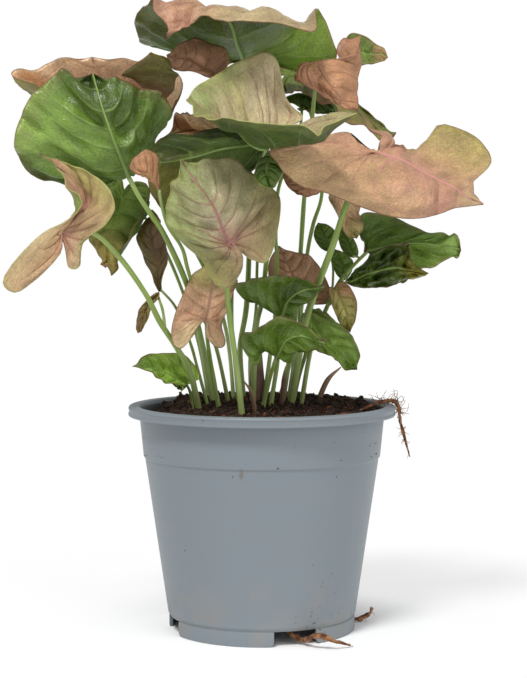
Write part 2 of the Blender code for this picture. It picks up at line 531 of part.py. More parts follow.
def frame_along(path):
    """Two directions square to the path at each of its points, turning as little as possible."""
    tangents = np.gradient(path, axis=0)
    tangents /= np.linalg.norm(tangents, axis=1)[:, None]
    side = np.cross(tangents[0], [0.0, 1.0, 0.0])
    sides = []
    for tangent in tangents:
        side = side - tangent * (side @ tangent)
        side = side / np.linalg.norm(side)
        sides.append(side)
    return tangents, np.array(sides), np.cross(tangents, np.array(sides))


def tube_rings(path, radii, sides):
    _, first, second = frame_along(path)
    turn = np.linspace(0, 2 * math.pi, sides, endpoint=False)
    ring = first[:, None] * np.cos(turn)[None, :, None] + second[:, None] * np.sin(turn)[None, :, None]
    return path[:, None] + ring * np.asarray(radii)[:, None, None]


def add_tube(name, rings, colour):
    rows, sides = rings.shape[:2]
    verts = rings.reshape(-1, 3)
    faces = [(i * sides + j, i * sides + (j + 1) % sides, (i + 1) * sides + (j + 1) % sides,
              (i + 1) * sides + j) for i in range(rows - 1) for j in range(sides)]
    faces += [tuple(range(sides))[::-1], tuple((rows - 1) * sides + j for j in range(sides))]
    return add_piece(name, verts, faces, colour)


def onto_soil(ring):
    """The ring's points dropped to just above the soil."""
    return np.array([(x, y, soil_top(x, y) + SEAT_GAP) for x, y, _ in ring])


def foot_point(foot):
    x, nearer = foot
    return np.array([x, -nearer, soil_top(x, -nearer) + SEAT_GAP])


def stalk_radius(name, share):
    """A stalk's radius this share of its way up."""
    return LEAVES[name]["stalk"]["width"] / 2 * (1 - STALK_TAPER * share)


def stalk_path(name):
    """Middle line of a stalk from its foot to the leaf, in millimetres."""
    leaf = LEAVES[name]
    stalk = leaf["stalk"]
    rising = list(map(sight, stalk["path"]))
    top, _ = stalk_end(leaf)
    if "foot" in stalk:
        start = foot_point(stalk["foot"])
    else:
        parent, share = stalk["joint"]
        trunk = stalk_path(parent)
        step = int(share * (len(trunk) - 1))
        at = trunk[step]
        along = trunk[step + 1] - at
        away = rising[0] - at
        out = away - along * (away @ along) / (along @ along)
        out = out / np.linalg.norm(out)
        slant = math.sqrt(max(0.0, 1 - (away @ out) ** 2 / (away @ away)))
        reach = stalk_radius(parent, share) + BRANCH_FOOT * stalk["width"] / 2 * slant + SEAT_GAP
        start = at + out * reach
    return smooth_path([start, *rising, top], STALK_STEPS)


def add_stalk(name, leaf):
    """A stalk that stops just under its leaf, or inside the sheet where the two are one piece."""
    path = stalk_path(name)
    radii = np.array([stalk_radius(name, share) for share in np.linspace(0, 1, len(path))])
    if "joint" in leaf["stalk"]:
        radii[0] *= BRANCH_FOOT
    top, normal = stalk_end(leaf)
    side = math.copysign(1, (path[-2] - top) @ normal)
    rest = -STALK_END_SINK if leaf.get("fused") else BLADE / 2 + STALK_END_GAP
    path[-1] = top + normal * side * rest
    rings = tube_rings(path, radii, STALK_SIDES)
    rings[-1] -= ((rings[-1] - path[-1]) @ normal)[:, None] * normal[None]
    if "foot" in leaf["stalk"]:
        rings[0] = onto_soil(rings[0])
    return add_tube("stalk_" + name, rings, "stalk")


def bake(piece):
    """The piece's modifiers applied."""
    bpy.context.view_layer.update()
    graph = bpy.context.evaluated_depsgraph_get()
    made = bpy.data.meshes.new_from_object(piece.evaluated_get(graph))
    piece.modifiers.clear()
    piece.data = made


def join(base, other):
    """The other piece made part of the base. The join works on a large copy, which keeps it exact."""
    bake(base)
    for piece in (base, other):
        piece.data.transform(Matrix.Scale(1 / MM, 4))
    union = base.modifiers.new("join", "BOOLEAN")
    union.operation = "UNION"
    union.solver = "EXACT"
    union.object = other
    bake(base)
    base.data.transform(Matrix.Scale(MM, 4))
    bpy.data.objects.remove(other)


def add_leaves():
    for name, leaf in LEAVES.items():
        sheet = blade("leaf_" + name, leaf)
        stalk = add_stalk(name, leaf)
        if leaf.get("fused"):
            join(sheet, stalk)


def add_shoots():
    for name, shoot in SHOOTS.items():
        path = smooth_path([foot_point(shoot["foot"]), *map(sight, shoot["path"])], STALK_STEPS)
        radii = np.interp(np.linspace(0, 2, len(path)), range(3), shoot["radii"])
        rings = tube_rings(path, radii, STALK_SIDES)
        rings[0] = onto_soil(rings[0])
        add_tube(name, rings, shoot["colour"])


def spun(name, profile, colour, segments=POT_SEGMENTS):
    """A closed profile of (radius, height) turned round the pot's axis."""
    turn = np.linspace(0, 2 * math.pi, segments, endpoint=False)
    verts = [(r * math.cos(a), r * math.sin(a), z) for a in turn for r, z in profile]
    count = len(profile)
    faces = [(i * count + j, (i + 1) % segments * count + j, (i + 1) % segments * count + (j + 1) % count,
              i * count + (j + 1) % count) for i in range(segments) for j in range(count)]
    keep = [f for f in faces if not all(verts[i][0] == verts[i][1] == 0 for i in (f[0], f[3]))]
    return add_piece(name, verts, keep, colour)


def wall_radius(z):
    """Outside radius of the pot's wall at a height."""
    heights = (BASE_HEIGHT + BASE_ROUND, STEP_HEIGHT - 1.0, STEP_HEIGHT, RIM_TOP)
    return float(np.interp(z, heights, (BASE_RADIUS, STEP_RADIUS - STEP_IN, STEP_RADIUS, NECK_RADIUS + 0.4)))


def pot_profile():
    lip_low = RIM_TOP - RIM_DEPTH
    outside = [(FOOT_RADIUS - FOOT_WALL, 0.0), (FOOT_RADIUS, 0.0), (FOOT_RADIUS, BASE_HEIGHT)]
    outside += [(BASE_RADIUS - 0.2, BASE_HEIGHT + 0.3), (BASE_RADIUS, BASE_HEIGHT + BASE_ROUND)]
    outside += [(wall_radius(z), z) for z in (STEP_HEIGHT - 1.0, STEP_HEIGHT)]
    outside += [(wall_radius(RIM_TOP - RIM_LIP), RIM_TOP - RIM_LIP)]
    outside += [(RIM_RADIUS - RIM_LIP, RIM_TOP - RIM_LIP - 0.3), (RIM_RADIUS - RIM_LIP, lip_low)]
    outside += [(RIM_RADIUS - 0.1, lip_low), (RIM_RADIUS, lip_low + 0.5), (RIM_RADIUS, RIM_TOP - 1.6),
                (RIM_RADIUS - 0.5, RIM_TOP - 0.5), (RIM_RADIUS - 1.6, RIM_TOP)]
    inside = [(wall_radius(RIM_TOP) + 0.6, RIM_TOP), (wall_radius(RIM_TOP) - WALL + 0.5, RIM_TOP - 0.8)]
    inside += [(wall_radius(z) - WALL, z) for z in (RIM_TOP - 4, STEP_HEIGHT, STEP_HEIGHT - 1.0,
                                                    BASE_HEIGHT + FLOOR + 1.5)]
    inside += [(BASE_RADIUS - WALL - 2.0, BASE_HEIGHT + FLOOR), (0.0, BASE_HEIGHT + FLOOR),
               (0.0, BASE_HEIGHT)]
    return outside + inside + [(FOOT_RADIUS - FOOT_WALL, BASE_HEIGHT)]


def hidden_tool(name, verts, faces):
    tool = add_piece(name, verts, faces, "pot", smooth=False)
    tool.hide_render = True
    tool.display_type = "WIRE"
    return tool


def foot_gap_tool(number, degrees):
    """A block that cuts one gap in the foot, wider towards the ground with rounded corners."""
    half = FOOT_RADIUS * math.sin(math.radians(FOOT_GAP_WIDTH / 2))
    top = BASE_HEIGHT - 0.4
    outline = [(-half, top)]
    for k in range(5):
        a = math.radians(90 * k / 4)
        outline.append((-half - FOOT_GAP_FLARE * (1 - math.cos(a)), FOOT_GAP_FLARE * (1 - math.sin(a))))
    outline.append((-half - FOOT_GAP_FLARE, -2.0))
    outline += [(-x, z) for x, z in outline[::-1]]
    turn = math.radians(degrees)
    out, side = np.array([math.sin(turn), -math.cos(turn), 0]), np.array([math.cos(turn), math.sin(turn), 0])
    verts = [out * reach + side * x + np.array([0, 0, z]) for reach in (FOOT_RADIUS - 12, FOOT_RADIUS + 6)
             for x, z in outline]
    count = len(outline)
    faces = [tuple(range(count)), tuple(range(2 * count - 1, count - 1, -1))]
    faces += [(j, (j + 1) % count, count + (j + 1) % count, count + j) for j in range(count)]
    return hidden_tool(f"gap_tool_{number}", verts, faces)


def drain_hole(degrees):
    """Middle of the drain hole in this direction, as (x, y)."""
    turn = math.radians(degrees)
    return np.array([math.sin(turn), -math.cos(turn)]) * DRAIN_FROM_AXIS


def drain_tool(number, degrees):
    x, y = drain_hole(degrees)
    sides = DRAIN_SIDES
    around = np.linspace(0, 2 * math.pi, sides, endpoint=False)
    verts = [(x + DRAIN_RADIUS * math.cos(a), y + DRAIN_RADIUS * math.sin(a), z)
             for z in (BASE_HEIGHT - 2, BASE_HEIGHT + FLOOR + 2) for a in around]
    faces = [tuple(range(sides))[::-1], tuple(range(sides, 2 * sides))]
    faces += [(j, (j + 1) % sides, sides + (j + 1) % sides, sides + j) for j in range(sides)]
    return hidden_tool(f"drain_tool_{number}", verts, faces)


def add_pot():
    pot = spun("pot", pot_profile(), "pot")
    for number, degrees in enumerate(FOOT_GAPS):
        for tool in (foot_gap_tool(number, degrees), drain_tool(number, degrees)):
            cut = pot.modifiers.new(tool.name, "BOOLEAN")
            cut.operation = "DIFFERENCE"
            cut.solver = "EXACT"
            cut.object = tool
    return pot


def add_soil():
    """Soil that fills the pot, with an uneven top."""
    floor = BASE_HEIGHT + FLOOR + SOIL_GAP
    edge_z = (floor, BASE_HEIGHT + FLOOR + 3.0, STEP_HEIGHT - 1.0, STEP_HEIGHT)
    inner = [wall_radius(z) - WALL - SOIL_GAP for z in edge_z]
    inner[0] = BASE_RADIUS - WALL - 2.6
    top_radius = wall_radius(SOIL_LEVEL - 8) - WALL - SOIL_GAP
    columns = []
    for a in np.linspace(0, 2 * math.pi, SOIL_SEGMENTS, endpoint=False):
        column = [(0.0, 0.0, floor)]
        column += [(r * math.cos(a), r * math.sin(a), z) for r, z in zip(inner, edge_z)]
        for r in np.linspace(top_radius, 0, SOIL_RINGS):
            x, y = r * math.cos(a), r * math.sin(a)
            column.append((x, y, soil_top(x, y)))
        columns.append(column)
    count = len(columns[0])
    verts = [v for column in columns for v in column]
    faces = [(i * count + j, (i + 1) % SOIL_SEGMENTS * count + j, (i + 1) % SOIL_SEGMENTS * count + j + 1,
              i * count + j + 1) for i in range(SOIL_SEGMENTS) for j in range(count - 1)]
    return add_piece("soil", verts, faces, "soil")


def add_bark():
    """A chip of bark lying on the soil at the right."""
    start, end = np.array(BARK_ENDS)
    along = (end - start) / np.linalg.norm(end - start)
    across = np.array([-along[1], along[0]])
    rings = []
    for t, wide, high in BARK_GIRTHS:
        middle = start + (end - start) * t
        ring = []
        for w, h in BARK_SECTION:
            x, y = middle + across * wide * w
            ring.append((x, y, soil_top(x, y) + SEAT_GAP + high * h))
        rings.append(ring)
    return add_tube("bark_chip", np.array(rings), "bark")


def add_root(name, points, steps, shares, radii):
    """A root along a smooth path, with its radii at these shares of the way."""
    path = smooth_path(points, steps)
    width = np.interp(np.linspace(0, 1, len(path)), shares, radii)
    return add_tube(name, tube_rings(path, width, STALK_SIDES), "root")


def out_of_foot(gap, shift, places):
    """The way of a root from a drain hole down through a gap in the foot and on through these places."""
    x, y = drain_hole(FOOT_GAPS[gap])
    inside = [(x, y, BASE_HEIGHT + FLOOR - SEAT_GAP), (x + shift[0], y + shift[1], shift[2])]
    return inside + list(map(sight, places))


def add_roots():
    """Roots that have grown over the rim, out of a gap in the foot, and along the ground."""
    add_root("root_rim", ROOT_OVER_RIM, 2, (0, 0.45, 0.65, 1), (1.5, 1.9, 1.1, 0.6))
    add_root("root_front", out_of_foot(0, (0.5, -1, 6.2), ROOT_FRONT), 3, (0, 0.5, 1), (1.9, 1.6, 0.7))
    add_root("root_side", out_of_foot(1, (3, 0.5, 6.0), ROOT_SIDE), 3, (0, 0.5, 1), (1.6, 1.3, 0.6))


def main():
    for old in list(bpy.data.objects):
        bpy.data.objects.remove(old)
    add_pot()
    add_soil()
    add_leaves()
    add_shoots()
    add_bark()
    add_roots()


main()
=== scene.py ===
"""Looks of an arrowhead plant in its nursery pot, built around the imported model, in metres, Z up."""
import math

import bmesh
import bpy
import numpy as np
from mathutils import Euler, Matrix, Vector


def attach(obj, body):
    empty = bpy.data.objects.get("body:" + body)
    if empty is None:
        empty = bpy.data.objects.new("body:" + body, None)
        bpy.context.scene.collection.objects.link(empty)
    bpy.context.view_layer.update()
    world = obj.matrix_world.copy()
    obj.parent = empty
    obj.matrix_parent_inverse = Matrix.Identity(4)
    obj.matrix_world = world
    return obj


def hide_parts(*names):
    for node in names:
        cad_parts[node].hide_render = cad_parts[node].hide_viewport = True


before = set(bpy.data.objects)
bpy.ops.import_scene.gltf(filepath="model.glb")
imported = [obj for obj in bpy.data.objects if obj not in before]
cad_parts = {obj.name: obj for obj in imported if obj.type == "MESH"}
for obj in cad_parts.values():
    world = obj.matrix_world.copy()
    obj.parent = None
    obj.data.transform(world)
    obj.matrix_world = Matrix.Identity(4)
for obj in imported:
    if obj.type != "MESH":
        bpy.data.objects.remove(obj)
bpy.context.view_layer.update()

MM = 0.001
MERGE = 0.000002

# The pot's axis, measured from the origin under the middle of the whole plant, in millimetres.
AXIS = np.array([5.1, 20.9, 0.0])

# The front view: eye position relative to the foot of the pot's axis, and the size of the view.
EYE = np.array([1.0, -1100.0, 247.0])
EYE_TILT = math.radians(3.23)
EYE_REACH = 1730.0
VIEW_MIDDLE = (263.5, 339.0)
VIEW_HEIGHT = 678.0

# Above this height in the view the plant spreads further to the front and the back.
CROWN_FROM = 400.0
CROWN_FADE = 220.0
CROWN_SPREAD = 0.45

# Pot, in millimetres.
RIM_RADIUS = 85.0
RIM_TOP = 143.0
RIM_DEPTH = 6.2
RIM_LIP = 1.8
RIM_ROUND = 1.6
RIM_BAND = 0.4
LIP_ROUND = 0.45
MOUTH_ROUND = 1.4
NECK_RADIUS = 78.6
STEP_HEIGHT = 111.0
STEP_DROP = 1.0
STEP_RADIUS = 75.4
STEP_IN = 0.9
BASE_RADIUS = 60.2
BASE_HEIGHT = 9.8
BASE_ROUND = 2.4
FOOT_RADIUS = 59.4
FOOT_WALL = 2.2
FOOT_ROUND = 0.6
FOOT_GROOVE = ((0.0, -0.9), (-0.5, -0.5), (-0.4, 0.0))
WALL = 1.6
FLOOR = 2.0
FLOOR_FILLET = 2.0
FOOT_GAPS = (20.7, 104.0, 201.0, 285.0)
FOOT_GAP_WIDTH = 27.0
FOOT_GAP_FLARE = 4.0
FOOT_GAP_CUT = (-12.0, 6.0)
CUT_BEYOND = 2.0
DRAIN_RADIUS = 4.5
DRAIN_FROM_AXIS = 48.0
POT_SEGMENTS = 192
POT_SHARP = 35.0
POT_STAIN = (241.0, 476.0, 75.0)
POT_STAIN_REACH = (1.2, 2.7)

# Potting soil in millimetres: its surface, its heaps (height, across, back, spread), the dip at the left.
SOIL_LEVEL = 136.6
SOIL_HEAPS = ((3.2, -8.0, 16.0, 26.0), (3.5, -52.0, 22.0, 9.0))
SOIL_SINK = 8.0
SOIL_SINK_X = -66.0
SOIL_SINK_FADE = 3.0
SOIL_RISE = 1.6
SOIL_BACK_RISE = 4.4
SOIL_BACK_FROM = (-10.0, 60.0)
SOIL_BACK_LEFT = (-75.0, -45.0)
SOIL_ROUGH = 1.7
SOIL_LUMPS = (14.0, 9.0, 6.0, 4.2, 3.0, 2.2)
SOIL_SEGMENTS = 150
SOIL_RINGS = 46
SOIL_GAP = 0.35
SEAT_GAP = 0.3

# What lies on the soil: (stuff, bits per square metre, smallest and largest half sizes in mm, tilt).
LITTER = (
    ("soil", 150000, (0.3, 0.3, 0.25), (1.2, 1.1, 0.9), 1.2),
    ("soil", 22000, (0.9, 0.8, 0.7), (3.4, 2.6, 2.3), 1.5),
    ("crumb", 60000, (0.4, 0.4, 0.3), (1.9, 1.4, 1.0), 1.2),
    ("bark", 8000, (0.8, 0.7, 0.3), (3.4, 2.0, 0.9), 0.9),
    ("fibre", 26000, (0.07, 0.07, 0.07), (0.16, 6.0, 0.16), 0.6),
)
LITTER_UPWARD = 0.4
LITTER_DENT = 0.0012

# Bark chip on the soil: its two ends, then (share of the way, half width, height) along it.
BARK_ENDS = ((44.0, -36.0), (68.0, -18.0))
BARK_GIRTHS = ((0, 2.2, 2.2), (0.25, 3.6, 4.0), (0.6, 3.2, 3.6), (0.85, 2.6, 3.0), (1, 1.4, 1.4))
BARK_RINGS = 26
BARK_SIDES = 22
BARK_RIDGES = 5
BARK_RIDGE = 0.09
BARK_ROUGH = 0.05

# Roots: one over the rim, from the axis. The others pass a gap of the foot to (across, down, nearer) places.
ROOT_OVER_RIM = ((62, -1, 139.0), (70, -1, 142.6), (78, -1, 145.2), (84.6, -1, 145.2), (87.4, -1, 141.0),
                 (87.9, 0, 135.0), (89.5, 0, 127.0), (92.0, 0, 118.0), (94.6, 0, 109.5))
RIM_RADII = (1.0, 1.3, 1.2, 0.8, 0.4)
RIM_STRANDS = 9
RIM_STRAND_RADII = (0.5, 0.6, 0.4, 0.15)
GAP_STRAND_RADII = (0.7, 0.9, 0.5, 0.2)
ROOTLET_RADII = (0.24, 0.17, 0.08)
ROOT_KNOTS = (0.16, 0.12)
ROOT_STRAY = 0.16
GAP_ROOTS = {
    "front": dict(gap=0, radii=(1.9, 1.7, 1.4, 0.7), seed=5, rootlets=7,
                  way=((303, 640, 52), (313, 636.5, 61.5), (323, 635.5, 64), (335, 641, 64),
                       (350, 645, 58))),
    "side": dict(gap=1, radii=(1.6, 1.4, 1.1, 0.6), seed=6, rootlets=4,
                 way=((356, 619, -13), (365, 617, -13), (370, 613, -13), (372, 607, -13))),
}

# Shoots: sides of each, how many flutes they have and how deep.
SHOOT_SIDES = 16
SHOOT_FLUTES = (5, 0.07)

# Leaves, in millimetres.
BLADE = 0.5
LEAF_STEPS = 22
QUILT = 1.5
QUILT_LIMIT = 0.17
RIM_WAVE = 0.5
SAG_SIZES = (34.0, 20.0, 12.0, 7.0)
SAG = 1.5
VEIN_SLANT = 0.5
VEIN_BOW = 0.09
STALK_SIDES = 12
STALK_STEPS = 9
STALK_TAPER = 0.28
STALK_GIRTH = 1.1
STALK_FLARE = 0.18
STALK_UNEVEN = 0.04
STALK_DROP = 0.2
RIB_REACH = 0.93
RIB_SHARE = 0.8
RIB_LEAST = 0.16
RIB_SIDES = 8
STRAND_TAPER = 0.6
STRAND_SINK = 0.4
STRAND_SIDES = 6
FOOT_SINK = 1.0
STALK_PAINTS = ("stalk base", "stalk pale", "stalk green", "stalk green", "stalk pale")

# Half outlines of a leaf laid flat, from the tip to the notch behind the stalk. The midrib is 1 long.
OUTLINES = {
    "arrow": ((1.0, 0.0), (0.93, 0.045), (0.8, 0.13), (0.6, 0.28), (0.4, 0.40), (0.2, 0.475), (0.05, 0.50),
              (-0.12, 0.485), (-0.28, 0.41), (-0.37, 0.31), (-0.385, 0.2), (-0.30, 0.105), (-0.18, 0.045),
              (-0.09, 0.0)),
    "narrow": ((1.0, 0.0), (0.92, 0.06), (0.8, 0.13), (0.6, 0.21), (0.4, 0.24), (0.2, 0.22), (0.05, 0.14),
               (-0.02, 0.07), (-0.05, 0.0)),
}

# Where on the flat leaf the margin places of a leaf lie, from the tip to the notch.
STATIONS = {
    "arrow": ((0.75, 0.17), (0.45, 0.375), (0.10, 0.495), (-0.22, 0.445), (-0.385, 0.22), (-0.18, 0.045)),
    "narrow": ((0.8, 0.13), (0.5, 0.23), (0.25, 0.23), (0.02, 0.11)),
}

# Side veins of half a leaf, by the share of the half outline that each runs out to, from the tip.
VEIN_SHARES = {
    "arrow": (0.0, 0.10, 0.19, 0.275, 0.36, 0.455, 0.56, 0.67, 0.79, 0.90, 1.0),
    "narrow": (0.0, 0.14, 0.28, 0.42, 0.56, 0.72, 1.0),
}
RING_SHARE = 0.86

# Where rays run beside each vein, in shares of the way to the next vein, on coarse and on fine leaves.
RAY_GAPS = {
    False: (-0.5, -0.25, -0.08, 0.0, 0.08, 0.25),
    True: (-0.5, -0.3, -0.15, -0.06, 0.0, 0.06, 0.15, 0.3),
}

# How much richer leaf colours are made than the paints, as gloss pales them, and how softly paints blend.
LEAF_DEPTH = 1.12
PAINT_SOFT = 0.02

# Colours as the eye sees them, red, green and blue from 0 to 255.
PAINTS = {
    "silver": (158, 152, 126), "sage": (134, 150, 88), "moss": (130, 128, 74), "blush": (142, 102, 94),
    # The brighter silver is the heart's own silver with a painted highlight over it.
    "silver highlight": (180, 176, 138), "vein pink": (152, 100, 96), "cream": (194, 180, 146),
    "pale sage": (176, 168, 116), "rosy": (172, 146, 112), "yellow rim": (150, 150, 84),
    "fawn": (172, 148, 108), "sand": (190, 162, 118), "warm pink": (186, 142, 116), "rose": (176, 128, 112),
    "pale sand": (188, 170, 130), "pale olive": (172, 166, 104), "peach": (196, 154, 124),
    "flap olive": (164, 160, 92), "bright green": (138, 166, 80), "lit green": (164, 196, 88),
    "leaf green": (108, 136, 52), "grass": (88, 112, 40), "deep green": (62, 82, 24),
    "dark green": (40, 54, 14), "olive": (134, 126, 52), "olive dark": (84, 80, 24), "umber": (84, 62, 38),
    "vein green": (134, 162, 82), "dim vein": (98, 120, 52), "pink glow": (246, 200, 166),
    "pale glow": (255, 216, 178), "coral": (180, 136, 102), "tan": (172, 128, 98),
    "rose brown": (150, 106, 82), "brown": (140, 116, 78), "olive brown": (134, 116, 70),
    # The dark colour of the strands along folds is painted shade.
    "pink rib": (208, 142, 136), "mauve": (170, 122, 110), "crease shade": (110, 74, 56),
    "edge brown": (116, 80, 54), "edge yellow": (172, 170, 98), "edge pink": (140, 88, 72),
    "stalk green": (144, 168, 82), "stalk pale": (168, 188, 116), "stalk base": (150, 164, 96),
    "purple": (118, 88, 76), "mauve brown": (138, 104, 94), "dry": (164, 132, 104),
    "dry dark": (112, 78, 58), "pot blue": (121, 132, 139), "pot grey": (125, 134, 141),
    "pot dust": (137, 136, 133), "pot stain": (112, 96, 80), "soil": (30, 22, 18),
    "soil light": (60, 44, 34), "soil brown": (88, 60, 42), "fibre": (150, 112, 76),
    "bark dark": (74, 38, 26), "bark": (128, 76, 56), "root dark": (84, 50, 34), "root": (162, 118, 84),
}

# Soft light from all round, and distant lamps: where each comes from, how wide it looks and its strength.
WORLD_LIGHT = 0.45
FLOOR_HALF = 4.0
FLOOR_GLOW = 0.62
FLOOR_GLOW_REACH = (58.0, 135.0)
LIGHTS = {
    "key light": ((-0.25, -0.6, 0.95), 14.0, 2.1),
    "fill light": ((0.8, -0.8, 0.5), 50.0, 0.75),
}

